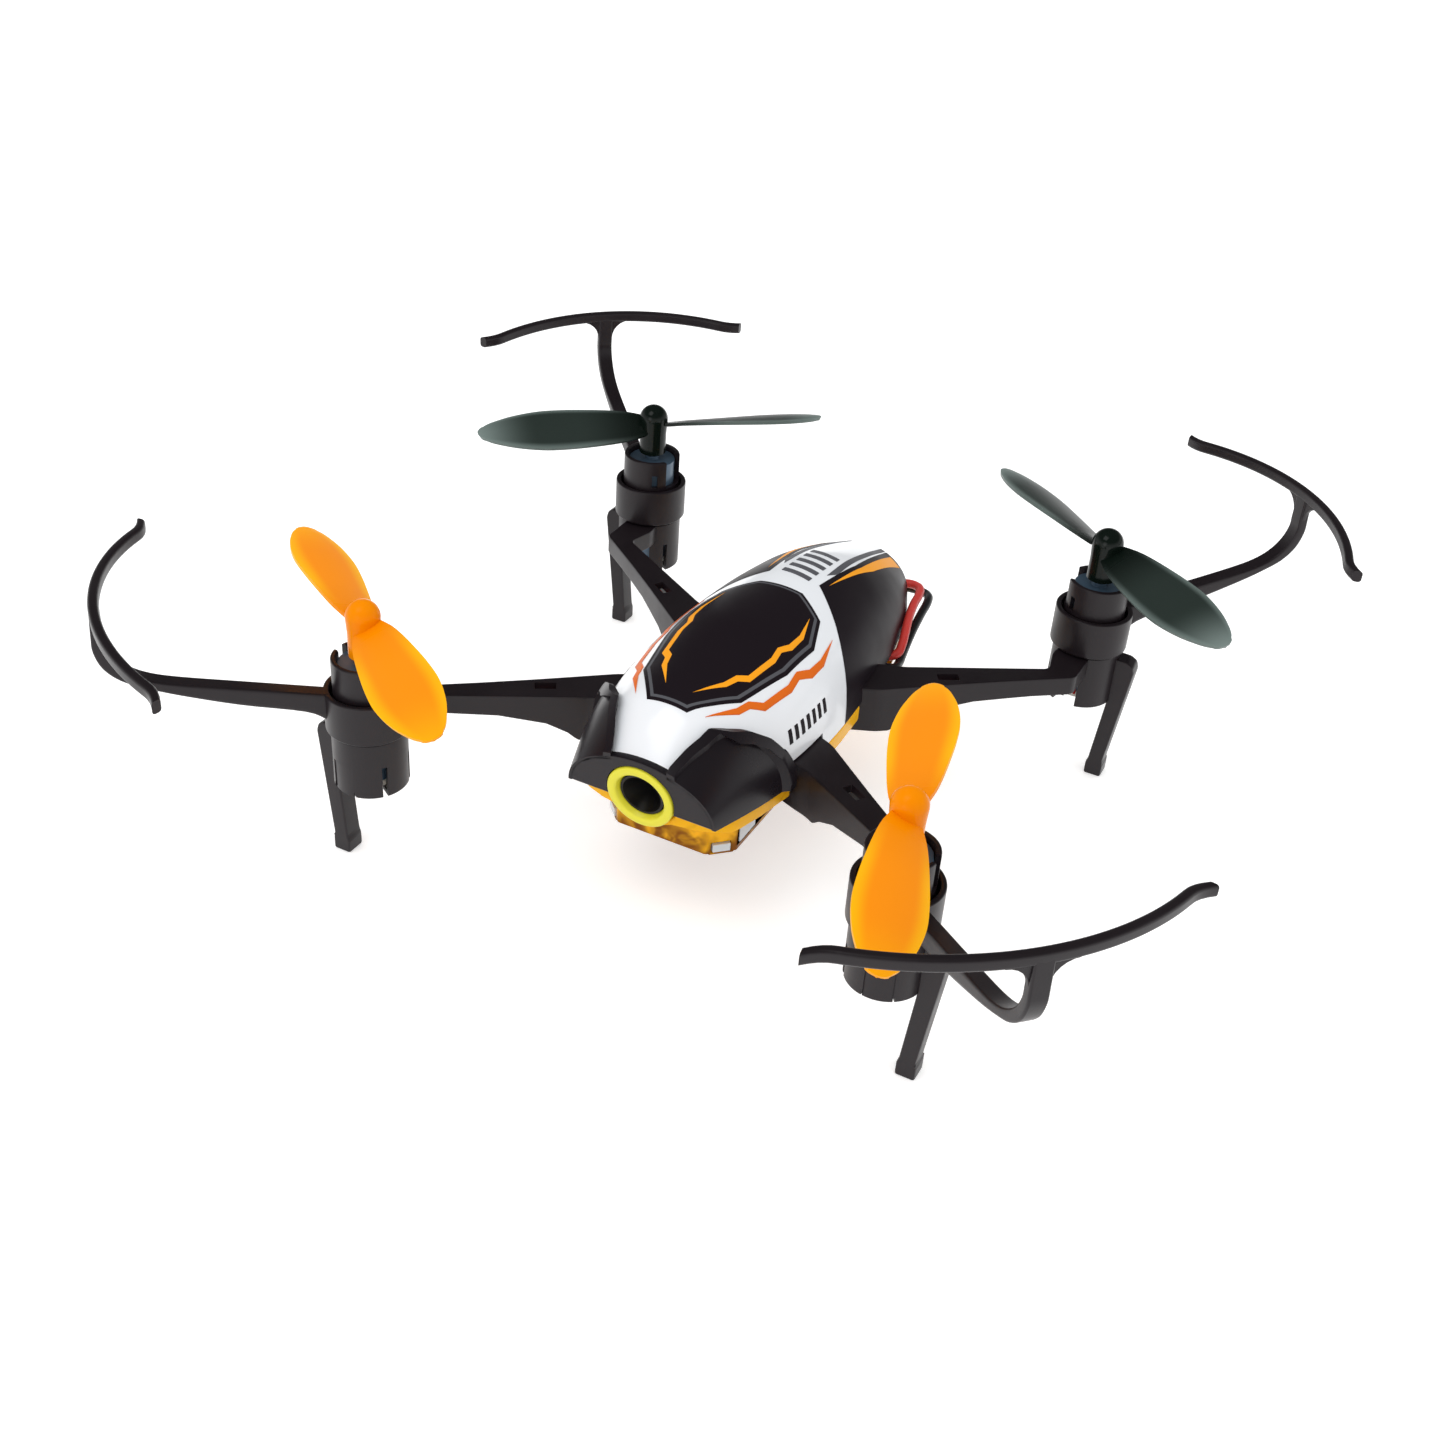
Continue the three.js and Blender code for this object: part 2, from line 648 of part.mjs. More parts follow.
const motorMagnet = () =>
  tube(shaftHole + slipGap, magnetRadius, coilBase + coilHub + restGap, canTop - canWall - restGap,
    smallSteps);
const motorShaft = () => disc(shaftRadius, endCapBase + slipGap, shaftTop, tinySteps);

// Lead of a motor: up inside its pod, through the window and along the arm's channel, in shares of
// the motor's reach, then past the ring's inside and down to the board, in shares of the ring's half
// width and length and of the climb from the board
const leadArmShares = [[0.983, 0.777], [0.972, 0.722], [0.942, 0.686], [0.862, 0.625], [0.744, 0.54],
  [0.606, 0.438], [0.452, 0.314]];
const leadBodyShares = [[1.05, 0.561, 1], [0.83, 0.503, 1], [0.737, 0.484, 0.76], [0.669, 0.477, 0.45],
  [0.593, 0.471, 0]];
const leadRiseShares = [0.24, 0.5]; // of the way up from the motor's base to the arm

function motorLead(side) {
  const beside = side * leadRadius * 1.4;
  const podEdge = hubReach - (canRadius + podLeadBore) / 2;
  const start = canBase - slipGap;
  const run = (trayTop + frameTop - armRoof) / 2 + side * (leadRadius + slipGap / 2);
  const landing = boardTop + leadRadius;
  const points = [[hubReach + beside, podEdge, start],
    ...leadRiseShares.map((share) => [hubReach + beside, podEdge, start + share * (frameTop - start)])];
  leadArmShares.forEach(([x, y], i) => {
    points.push([x * hubReach + (i ? 0 : beside), y * hubReach + (i ? 0 : slipGap), run]);
  });
  for (const [x, y, climb] of leadBodyShares) {
    points.push([x * trayHalfWidth, y * trayLength / 2 - beside, landing + climb * (run - landing)]);
  }
  return wire(points, leadRadius, 24, 6);
}

// Body pieces
const bossTop = bellyBase + shellWall + bossHeight;
const boardBase = bossTop + slipGap;
const boardTop = boardBase + boardThickness;
const armClearance = () => prism(offsetOutline(armOutline, restGap), podBase, frameTop + restGap);
const fourSides = [[-1, -1], [1, -1], [1, 1], [-1, 1]];

// Everything ahead of a plane that leans with the nose plate, set behind the plate's face
function aheadOfPlate(setback) {
  const low = bodyBase - overrun;
  const high = bodyBase + canopyRise + overrun;
  const ahead = canopyNose - 2 * overrun;
  const back = (z) => plateFaceAt(z) + setback;
  const outline = [[ahead, low], [back(low), low], [back(high), high], [ahead, high]];
  return crossPrism(outline, -2 * canopyHalfWidth, 2 * canopyHalfWidth);
}

function canopy() {
  const front = hoodPlateThickness + restGap;
  const inside = cut(canopyBody(-canopyWall, bodyBase - overrun, overrun), aheadOfPlate(front + canopyWall));
  const cameraHole = moved(disc(ringRadius + restGap, -2 * ringRadius, ringRadius), cameraPlace);
  const armCuts = fourSides.map(([x, y]) => mirrored(armClearance(), x, y));
  return cut(canopyBody(0), inside, aheadOfPlate(front), cameraHole, ...armCuts);
}

// Cheek's edge from its foot at the rear, over its peak and down to the front plate
const cheekShares = [[0.202, 0], [0.2075, 0.071], [0.206, 0.298], [0.187, 0.447], [0.164, 0.574],
  [0.134, 0.695], [0.114, 0.723], [0.04, 0.6]];
const cheekFrontShare = 0.44; // cheek's height where it meets the plate

function noseHood() {
  const face = (z) => [plateFaceAt(z), z];
  const cheekEdge = cheekShares.map(([along, rise]) =>
    [canopyNose + canopyLength * along, bodyBase + canopyRise * rise]);
  const foot = [cheekEdge[0][0], bodyBase - overrun];
  const cheekFront = face(bodyBase + canopyRise * cheekFrontShare);
  const cheekSide = [face(bodyBase - overrun), foot, ...cheekEdge, cheekFront];
  const outside = canopyBody(hoodGap + hoodThickness);
  const skin = cut(outside, canopyBody(hoodGap, bodyBase - overrun, overrun));
  const cheeks = skin.intersect(crossPrism(cheekSide, -2 * canopyHalfWidth, 2 * canopyHalfWidth));
  const plateHalfWidth = widthAt(canopyNose) + hoodGap + hoodThickness + restGap;
  const archSteps = 24;
  const arch = Array.from({ length: archSteps + 1 }, (_, i) => {
    const angle = i / archSteps * Math.PI;
    return [plateHalfWidth * Math.cos(angle),
      bodyBase + (hoodPlateTop - bodyBase) * Math.sin(angle)];
  });
  const [low, high] = [bodyBase - overrun, hoodPlateTop + overrun];
  const back = ([y, z]) => [y + hoodPlateThickness, z];
  const slab = crossPrism([face(low), back(face(low)), back(face(high)), face(high)],
    -canopyHalfWidth, canopyHalfWidth);
  const archBlock = sidePrism(arch, canopyNose - overrun, shellNose + 2 * overrun);
  const plate = archBlock.intersect(slab).intersect(outside);
  const cameraHole = moved(disc(ringRadius + restGap / 2, -ringRadius, ringRadius), cameraPlace);
  return cut(join(plate, cheeks), cameraHole);
}

// The amber shell's outline follows the canopy's foot, with a rounded front
function shellOutline(inset) {
  const side = [];
  const noseSteps = 5;
  const shoulder = shellNose + shellNoseLength;
  for (let i = 0; i <= noseSteps; i += 1) {
    const angle = i / noseSteps * Math.PI / 2;
    side.push([(widthAt(shoulder) - inset) * Math.sin(angle),
      shoulder - (shellNoseLength - inset) * Math.cos(angle)]);
  }
  const places = canopyShares.map((row) => canopyNose + canopyLength * row.along);
  for (const y of places.filter((place) => place > shoulder + overrun && place < shellTail - overrun)) {
    side.push([widthAt(y) - inset, y]);
  }
  side.push([widthAt(shellTail - inset) - inset, shellTail - inset]);
  const otherSide = side.slice(1).reverse().map(([x, y]) => [-x, y]);
  return [...side, ...otherSide];
}

const bellyOutline = (inset) => roundedOutline(-bellyHalfWidth + inset, bellyFront + inset,
  bellyHalfWidth - inset, bellyBack - inset, bellyCorner - inset * (2 - Math.SQRT2), 1);

const bossPlaces = fourSides.map(([x, y]) => [x * (boardHalfWidth - bossInset),
  y < 0 ? boardFront + bossInset : boardBack - bossInset]);

function sideWindowBox(side, gap, proud) {
  const middle = bellyFront + windowSetback + windowLength / 2;
  const low = bellyBase + shellWall + restGap;
  const thickness = shellWall + proud;
  return box(thickness, windowLength - 2 * gap, low + gap, low + windowHeight - gap,
    side * (bellyHalfWidth - shellWall + thickness / 2), middle);
}

// Window on the flat corner, which faces forward and sideways alike
function cornerWindowBox(side, gap, proud) {
  const low = bellyBase + restGap;
  const thickness = shellWall + proud;
  const pane = box(cornerWindowWidth - 2 * gap, thickness, low + gap, low + cornerWindowHeight - gap,
    0, shellWall - thickness / 2);
  const turn = new THREE.Matrix4().makeRotationZ(side * Math.PI / 4);
  const outwards = side * (bellyHalfWidth - bellyCorner / 2);
  return shifted(moved(pane, turn), outwards, bellyFront + bellyCorner / 2, 0);
}

function lowerShell() {
  const floorTop = shellFloor + shellWall;
  const outside = join(prism(shellOutline(0), shellFloor, bodyBase - restGap),
    prism(bellyOutline(0), bellyBase, floorTop));
  const inside = join(prism(shellOutline(shellWall), floorTop, bodyBase + overrun),
    prism(bellyOutline(shellWall), bellyBase + shellWall, floorTop + overrun));
  const bosses = bossPlaces.map(([x, y]) =>
    shifted(disc(bossRadius, bellyBase + slipGap, bossTop, smallSteps), x, y, 0));
  const pilots = bossPlaces.map(([x, y]) =>
    shifted(disc(screwRadius + slipGap, bellyBase + shellWall, bossTop + overrun, tinySteps), x, y, 0));
  const arms = fourSides.map(([x, y]) => mirrored(armClearance(), x, y));
  const camera = moved(disc(ringRadius + restGap, -ringBack - restGap, 2 * ringRadius), cameraPlace);
  const notchMiddle = (leadNotchFront + leadNotchBack) / 2;
  const notch = box(canopyHalfWidth / 2, leadNotchBack - leadNotchFront, floorTop, bodyBase + overrun,
    widthAt(notchMiddle), notchMiddle);
  const windows = [-1, 1].flatMap((side) =>
    [sideWindowBox(side, 0, overrun), cornerWindowBox(side, 0, overrun)]);
  const hollow = cut(outside, inside);
  return cut(join(hollow, ...bosses), ...pilots, ...arms, camera, notch, ...windows);
}

function screw() {
  const headBase = boardTop + slipGap;
  const headTop = headBase + screwHeadHeight;
  const tip = headBase - screwLength;
  return turned([[0, tip], [screwRadius, tip], [screwRadius, headBase],
    [screwHeadRadius, headBase], [screwHeadRadius, headTop], [0, headTop]], tinySteps);
}

function flightBoard() {
  const plate = prism(roundedOutline(-boardHalfWidth, boardFront, boardHalfWidth, boardBack, bellyCorner / 2),
    boardBase, boardTop);
  const holes = bossPlaces.map(([x, y]) =>
    shifted(disc(screwRadius + slipGap, boardBase - overrun, boardTop + overrun, tinySteps), x, y, 0));
  return cut(plate, ...holes);
}

// Camera pieces about the lens axis, which points forward
const cameraRing = () => moved(tube(ringBore, ringRadius, -ringBack, ringFront, 36), cameraPlace);

function lensBarrel() {
  const outer = ringBore - slipGap;
  const throat = glassRadius + slipGap;
  return moved(turned([[throat, -barrelBack], [outer, -barrelBack], [outer, barrelFront],
    [barrelMouth, barrelFront], [throat, barrelFront - recessDepth]]), cameraPlace);
}

function lensGlass() {
  const front = barrelFront - recessDepth;
  const back = front - glassLength;
  return moved(turned([[0, back], [glassRadius, back], [glassRadius, front - slipGap],
    [glassRadius * 0.6, front + glassRadius / 4], [0, front + glassRadius / 3]], smallSteps), cameraPlace);
}

const cameraBlockFront = -barrelBack - slipGap;
const cameraBlockBack = cameraBlockFront - cameraDepth;
const cameraModule = () => moved(box(cameraSize, cameraSize, cameraBlockBack, cameraBlockFront), cameraPlace);
const cameraBoard = () => moved(box(cameraBoardSize, cameraBoardSize,
  cameraBlockBack - slipGap - boardThickness, cameraBlockBack - slipGap), cameraPlace);

const batteryBase = trayTop + restGap;
const batteryBack = batteryFront + batteryLength;
const battery = () => prism(roundedOutline(-batteryWidth / 2, batteryFront, batteryWidth / 2, batteryBack,
  batteryCorner), batteryBase, batteryBase + batteryHeight);
const plugBase = batteryBase + restGap;
const plugBack = batteryBack + restGap + plugLength;
const plugHousing = () => box(plugWidth, plugLength, plugBase, plugBase + plugHeight,
  plugPlace, plugBack - plugLength / 2);
const socketHousing = () => box(plugWidth, plugLength, plugBase, plugBase + plugHeight,
  plugPlace, plugBack + restGap + plugLength / 2);

// Battery leads: from the board out through the shell's notch, along the body, round and into the tail
const redLeadPoints = [[1.8, 13.2, 15.1], [2.2, 15.8, 16.2], [3.4, 17.9, 17.6], [5.6, 19.4, 18],
  [8.2, 20.2, 18], [10.2, 20.8, 18], [11.8, 21.5, 18.1], [12.75, 22.5, 18.5], [12.9, 23.8, 19.1],
  [12.6, 25.6, 19.6], [12, 27.8, 19.9], [11.3, 30.4, 20.1], [10.6, 33.6, 20.3], [10, 36.8, 20.4],
  [9.3, 38.7, 20.4], [8.3, 39.7, 20.2], [7.1, 39.9, 20.1], [6, 39.1, 20.2], [5.2, 37.6, 20.6],
  [4.85, 35.9, 20.9]];
const blackLeadPoints = [[4.4, 13.2, 15.1], [4.8, 15.9, 15.9], [5.4, 16.9, 17.1], [6.6, 17.6, 17.95],
  [8.4, 18.2, 18.05], [10.4, 18.5, 18], [12.2, 18.8, 17.9], [13.3, 20, 17.5], [13.25, 21.8, 17.25],
  [12.9, 23.8, 17.4], [12.5, 26.2, 17.75], [12.1, 29.2, 18.4], [11.6, 33.6, 19], [11.1, 37.8, 19.3],
  [10.3, 39.9, 19], [8.8, 41.1, 18.7], [6.8, 41.3, 18.6], [4.8, 40.5, 18.8], [3.3, 38.9, 19.5],
  [2.55, 37.3, 20.4], [2.35, 35.9, 20.9]];

// The drone
place('chassis_frame', chassisFrame(), framePlastic());

const corners = [
  { name: 'front_left', x: 1, y: -1, angle: -45, spin: 1, blade: -73.9, front: true },
  { name: 'front_right', x: -1, y: -1, angle: 225, spin: -1, blade: -36.2, front: true },
  { name: 'rear_left', x: 1, y: 1, angle: 45, spin: -1, blade: -38.9, front: false },
  { name: 'rear_right', x: -1, y: 1, angle: 135, spin: 1, blade: 42.4, front: false },
];

for (const corner of corners) {
  const [x, y] = [corner.x * hubReach, corner.y * hubReach];
  const atHub = (shape, turn = 0) => moved(shape, new THREE.Matrix4().makeTranslation(x, y, 0)
    .multiply(new THREE.Matrix4().makeRotationZ(turn * degree)));
  place(`prop_guard_${corner.name}`, atHub(propGuard(), corner.angle), framePlastic());
  place(`propeller_${corner.name}`, atHub(propeller(corner.spin), corner.blade),
    corner.front ? frontPropPlastic() : rearPropPlastic());
  place(`motor_can_${corner.name}`, atHub(motorCan()), material(0x3a4450, 0.3, 1));
  place(`motor_end_cap_${corner.name}`, atHub(motorEndCap()), material(0xe8e6df, 0.5));
  place(`motor_magnet_${corner.name}`, atHub(motorMagnet()), material(0x55585c, 0.4, 1));
  place(`motor_rotor_${corner.name}`, atHub(motorRotor()), material(0xb0632c, 0.4, 1));
  place(`motor_shaft_${corner.name}`, atHub(motorShaft()), material(0xb9bcc0, 0.25, 1));
  for (const [kind, side, color] of [['plus', 1, 0xc02018], ['minus', -1, 0x1d3f9a]]) {
    const lead = mirrored(motorLead(side), corner.x, corner.y);
    place(`motor_lead_${kind}_${corner.name}`, lead, material(color, 0.5));
  }
}

place('canopy', canopy(), material(0xf4f5f8, 0.2));
place('nose_hood', noseHood(), material(0x1b1a1d, 0.35));
place('camera_ring', cameraRing(), material(0xe8e337, 0.35));
place('lens_barrel', lensBarrel(), material(0x151515, 0.4));
place('lens_glass', lensGlass(), material(0x20242c, 0.05));
place('camera_module', cameraModule(), material(0x222222, 0.5));
place('camera_board', cameraBoard(), material(0x1f5c38, 0.5));
place('lower_shell', lowerShell(), material(0xe88a10, 0.3));
for (const [name, side] of [['left', 1], ['right', -1]]) {
  place(`light_window_side_${name}`, sideWindowBox(side, slipGap, windowProud), material(0xe8f0ee, 0.1));
  place(`light_window_corner_${name}`, cornerWindowBox(side, slipGap, windowProud), material(0xe8f0ee, 0.1));
}
place('flight_board', flightBoard(), material(0x1f5c38, 0.5));
bossPlaces.forEach(([x, y], i) => {
  place(`board_screw_${i + 1}`, shifted(screw(), x, y, 0), material(0xa8abb0, 0.3, 1));
});
place('battery', battery(), material(0x9aa4ad, 0.35));
place('battery_plug', plugHousing(), material(0xf0efe8, 0.45));
place('battery_socket', socketHousing(), material(0xf0efe8, 0.45));
place('battery_lead_red', wire(redLeadPoints, powerLeadRadius, 40, 8), material(0xc01818, 0.4));
place('battery_lead_black', wire(blackLeadPoints, powerLeadRadius, 42, 8), material(0x1a1a1c, 0.4));

export default drone;
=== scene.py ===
import math
import bmesh
import bpy
from mathutils import Matrix, Quaternion, Vector


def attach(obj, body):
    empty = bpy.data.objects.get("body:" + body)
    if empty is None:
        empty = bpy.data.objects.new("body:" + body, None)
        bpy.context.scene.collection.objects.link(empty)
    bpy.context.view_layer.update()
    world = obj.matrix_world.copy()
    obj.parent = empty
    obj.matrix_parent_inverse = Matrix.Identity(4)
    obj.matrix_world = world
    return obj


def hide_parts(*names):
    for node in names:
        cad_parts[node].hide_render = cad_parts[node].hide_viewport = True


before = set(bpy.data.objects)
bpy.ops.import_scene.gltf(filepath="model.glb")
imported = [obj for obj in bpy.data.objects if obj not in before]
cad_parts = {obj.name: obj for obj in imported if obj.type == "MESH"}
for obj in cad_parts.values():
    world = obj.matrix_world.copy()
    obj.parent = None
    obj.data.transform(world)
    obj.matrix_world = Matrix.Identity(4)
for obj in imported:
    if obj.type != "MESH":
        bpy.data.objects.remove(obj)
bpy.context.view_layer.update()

# Camera
# It stands ahead of the drone, above it and on its left side, and leans by a few degrees.
# The whole drone is in view, nose to the lower left.
azimuth, elevation, lean = math.radians(25.138), math.radians(33.531), math.radians(4.309)
look_at = Vector((-0.012173, 0.018244, -0.000622))
distance = 0.266621
lens_length, nearest_drawn = 43.18, 0.01
back = Vector((math.sin(azimuth) * math.cos(elevation), -math.cos(azimuth) * math.cos(elevation),
               math.sin(elevation)))
camera = bpy.data.objects.new("camera", bpy.data.cameras.new("camera"))
bpy.context.scene.collection.objects.link(camera)
bpy.context.scene.camera = camera
camera.data.lens = lens_length
camera.data.clip_start = nearest_drawn
camera.location = look_at + back * distance
camera.rotation_mode = "QUATERNION"
camera.rotation_quaternion = back.to_track_quat("Z", "Y") @ Quaternion((0, 0, 1), lean)

# Studio: a pale floor, a soft white surrounding with a dim ceiling and far wall, and two wide lamps.
# The eye sees white on all sides, and the surrounding lights things evenly. Only reflections show
# the dim ceiling and wall, which keep dark glossy tops dark.
def linear(colour):
    """An sRGB hex colour as the linear one that a shader takes."""
    parts = [int(colour[i:i + 2], 16) / 255 for i in (1, 3, 5)]
    return (*[c / 12.92 if c <= 0.04045 else ((c + 0.055) / 1.055) ** 2.4 for c in parts], 1)


def add(tree, kind, settings=None, links=None):
    """A node with its settings and what is linked to its inputs; a plain value sets an input."""
    node = tree.nodes.new(kind)
    for name, value in (settings or {}).items():
        setattr(node, name, value)
    for name, value in (links or {}).items():
        if isinstance(value, bpy.types.NodeSocket):
            tree.links.new(value, node.inputs[name])
        else:
            node.inputs[name].default_value = value
    return node


def combined(tree, operation, first, second):
    """Two values put together by a math node."""
    return add(tree, "ShaderNodeMath", {"operation": operation}, {0: first, 1: second}).outputs[0]


def graded(tree, value, start, end, low=0.0, high=1.0, curve="SMOOTHSTEP"):
    """A value that goes from low to high while another goes from start to end."""
    node = add(tree, "ShaderNodeMapRange", {"interpolation_type": curve},
               {"Value": value, "From Min": start, "From Max": end, "To Min": low, "To Max": high})
    return node.outputs[0]


def blended(tree, share, first, second):
    """A number between two others: the first where the share is 0, the second where it is 1."""
    return add(tree, "ShaderNodeMix", {}, {0: share, 2: first, 3: second}).outputs[0]


def shown_rays(tree):
    """1 for rays from the camera, from glossy surfaces and through clear ones, else 0."""
    path = add(tree, "ShaderNodeLightPath")
    seen = combined(tree, "MAXIMUM", path.outputs["Is Camera Ray"], path.outputs["Is Glossy Ray"])
    return combined(tree, "MAXIMUM", seen, path.outputs["Is Transmission Ray"])


def finish_of(name, colour, **values):
    """A new material with its Principled shader, a colour and plain values for its sockets."""
    look = bpy.data.materials.new(name)
    look.use_nodes = True
    shader = look.node_tree.nodes["Principled BSDF"]
    shader.inputs["Base Color"].default_value = linear(colour)
    for socket, value in values.items():
        shader.inputs[socket.replace("_", " ")].default_value = value
    return look, look.node_tree, shader


soft_light, ceiling_strength, far_wall_strength, floor_glow = 0.96, 0.1, 0.22, 0.42
far_wall_direction = (-0.42, 0.9, 0.0)
floor_reach, lamp_distance = 4, 0.62
white = (1, 1, 1, 1)
# Each lamp has its width in m, its power in W and the side on which it stands.
lamps = (("overhead lamp", 0.3, 0.52, (-0.2, -0.42, 0.88)), ("front lamp", 0.26, 0.26, (-0.1, -0.93, 0.34)))

world = bpy.data.worlds.new("studio")
world.use_nodes = True
bpy.context.scene.world = world
tree = world.node_tree
direction = add(tree, "ShaderNodeTexCoord").outputs["Generated"]
height = add(tree, "ShaderNodeSeparateXYZ", {}, {"Vector": direction}).outputs["Z"]
ceiling = graded(tree, height, 0.12, 0.55, 1.0, ceiling_strength)
beyond = add(tree, "ShaderNodeVectorMath", {"operation": "DOT_PRODUCT"},
             {0: direction, 1: far_wall_direction})
far_wall = graded(tree, beyond.outputs["Value"], 0.2, 0.85, 1.0, far_wall_strength)
walls = combined(tree, "MULTIPLY", ceiling, far_wall)
reflected = blended(tree, shown_rays(tree), soft_light, walls)
camera_ray = add(tree, "ShaderNodeLightPath").outputs["Is Camera Ray"]
background = tree.nodes["Background"]
background.inputs["Color"].default_value = white
tree.links.new(blended(tree, camera_ray, reflected, 1.0), background.inputs["Strength"])

floor_shape = bmesh.new()
bmesh.ops.create_grid(floor_shape, x_segments=1, y_segments=1, size=floor_reach)
floor = bpy.data.objects.new("floor", bpy.data.meshes.new("floor"))
floor_shape.to_mesh(floor.data)
bpy.context.scene.collection.objects.link(floor)
# Matt paper has no shine. Its faint glow is for the eye and for reflections, and lights nothing.
paper, tree, shader = finish_of("matt white studio paper", "#F3F3F3", Roughness=1, Specular_IOR_Level=0,
                                Emission_Color=white)
glow = graded(tree, shown_rays(tree), 0.0, 1.0, 0.0, floor_glow, "LINEAR")
tree.links.new(glow, shader.inputs["Emission Strength"])
floor.data.materials.append(paper)

for name, width, power, side in lamps:
    lamp = bpy.data.objects.new(name, bpy.data.lights.new(name, "AREA"))
    lamp.data.size = width
    lamp.data.energy = power
    towards = Vector(side).normalized()
    lamp.location = towards * lamp_distance
    lamp.rotation_euler = towards.to_track_quat("Z", "Y").to_euler()
    bpy.context.scene.collection.objects.link(lamp)
bpy.context.scene.view_settings.view_transform = "Standard"

# Battery leads: two soft wires, 1.3 mm thick, in red and black silicone insulation.
# They are soldered to the flight board, leave by a notch in the shell and loop round into the tail.
def lifted(tree, shader, grain, depth):
    """Grain of a size and depth in mm lifts the surface.

    The grain of most of the real surfaces is under 0.1 mm, and is drawn coarser so that it shows.
    """
    place = add(tree, "ShaderNodeTexCoord").outputs["Object"]
    lumps = add(tree, "ShaderNodeTexNoise", {}, {"Vector": place, "Scale": 1000 / grain, "Detail": 3.0,
                                                 "Roughness": 0.55})
    relief = add(tree, "ShaderNodeBump", {}, {"Height": lumps.outputs[0], "Distance": depth * 0.001,
                                              "Strength": 0.6})
    tree.links.new(relief.outputs["Normal"], shader.inputs["Normal"])
    return place


def grained(tree, shader, grain, depth, low, high):
    """Grain, and patches about 6 mm wide over which the roughness goes from low to high."""
    place = lifted(tree, shader, grain, depth)
    patches = add(tree, "ShaderNodeTexNoise", {}, {"Vector": place, "Scale": 160.0, "Detail": 2.0})
    roughness = graded(tree, patches.outputs[0], 0.3, 0.7, low, high, "LINEAR")
    tree.links.new(roughness, shader.inputs["Roughness"])
    return place, patches.outputs[0]


def finish(name, colour, grain, **values):
    """A plain material with grain: its size and depth in mm, its lowest and its highest roughness."""
    look, tree, shader = finish_of(name, colour, **values)
    grained(tree, shader, *grain)
    return look


def insulation(name, colour):
    """Extruded round the wire: satin, a little mottled, with no lines along it."""
    return finish(name, colour, (0.5, 0.02, 0.32, 0.45), IOR=1.43)


lead_width = 0.0013
lead_routes = {
    "red": [(1.8, 13.2, 15.1), (2.2, 15.8, 16.2), (3.4, 17.9, 17.6), (5.6, 19.4, 18),
            (8.2, 20.2, 18), (10.2, 20.8, 18), (11.8, 21.5, 18.1), (12.7, 22.5, 18.5),
            (12.7, 23.8, 19.2), (12.3, 25.6, 19.9), (11.7, 27.8, 20.3), (11.05, 30.4, 20.5),
            (10.4, 33.6, 20.6), (9.9, 36.8, 20.5), (9.3, 38.7, 20.4), (8.3, 39.7, 20.2),
            (7.1, 39.9, 20.1), (6, 39.1, 20.2), (5.2, 37.6, 20.6), (4.85, 35.9, 20.9)],
    "black": [(4.4, 13.2, 15.1), (4.8, 15.9, 15.9), (5.4, 16.9, 17.1), (6.6, 17.6, 17.95),
              (8.4, 18.2, 18.05), (10.4, 18.5, 18), (12.2, 18.8, 17.9), (13.3, 20, 17.5),
              (13.25, 21.8, 17.25), (12.9, 23.8, 17.4), (12.5, 26.2, 17.75), (12.1, 29.2, 18.4),
              (11.6, 33.6, 19), (11.1, 37.8, 19.3), (10.3, 39.9, 19), (8.8, 41.1, 18.7),
              (6.8, 41.3, 18.6), (4.8, 40.5, 18.8), (3.3, 38.9, 19.5), (2.55, 37.3, 20.4),
              (2.35, 35.9, 20.9)],
}
# Each lead has its name, its colour and its length in m along the route.
for name, colour, length in (("red", "#CF3A33", 0.041), ("black", "#1A1A1C", 0.0462)):
    route = bpy.data.curves.new(f"power_lead_{name}", "CURVE")
    route.dimensions = "3D"
    route.bevel_depth = lead_width / 2
    route.bevel_resolution = 6
    route.resolution_u = 8
    route.use_fill_caps = True
    spline = route.splines.new("BEZIER")
    spline.bezier_points.add(len(lead_routes[name]) - 1)
    for knot, place in zip(spline.bezier_points, lead_routes[name]):
        knot.co = Vector(place) * 0.001
        knot.handle_left_type = knot.handle_right_type = "AUTO"
    lead = bpy.data.objects.new(f"power_lead_{name}", route)
    bpy.context.scene.collection.objects.link(lead)
    route.materials.append(insulation(f"{name} silicone insulation", colour))
    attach(lead, "airframe")
    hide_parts(f"battery_lead_{name}")

# Frame: arms, motor pods and legs in one injection moulding of black-brown ABS, in mm from here on.
# Each arm is a channel open below; its slot and the pods' windows are made by pins in the mould.
hub = 36.3
frame_top, pod_foot, pod_top = 21.2, 13, 31.6
skirt_radius, sleeve_radius, motor_bore = 4.85, 4.3, 3.6
arm_wall, arm_roof = 0.8, 1.1
merge_distance = 0.0005


def grown(outline, reach):
    """An outline moved outwards by a distance, or inwards by a negative one."""
    following = outline[1:] + outline[:1]
    turn = math.copysign(1, sum(a[0] * b[1] - b[0] * a[1] for a, b in zip(outline, following)))
    reached = []
    for before, here, after in zip(outline[-1:] + outline[:-1], outline, following):
        first = (Vector(here) - Vector(before)).normalized()
        second = (Vector(after) - Vector(here)).normalized()
        normal = Vector((first.y + second.y, -first.x - second.x)).normalized()
        lengthened = reach / normal.dot(Vector((first.y, -first.x)))
        reached.append(tuple(Vector(here) + normal * turn * lengthened))
    return reached


def rounded(shape, points, radius, segments=4):
    """Rounds corners of a flat outline before it is raised, turned or drawn out."""
    bmesh.ops.bevel(shape, geom=points, affect="VERTICES", offset=radius, offset_type="OFFSET",
                    segments=segments, profile=0.5, material=-1, clamp_overlap=True)


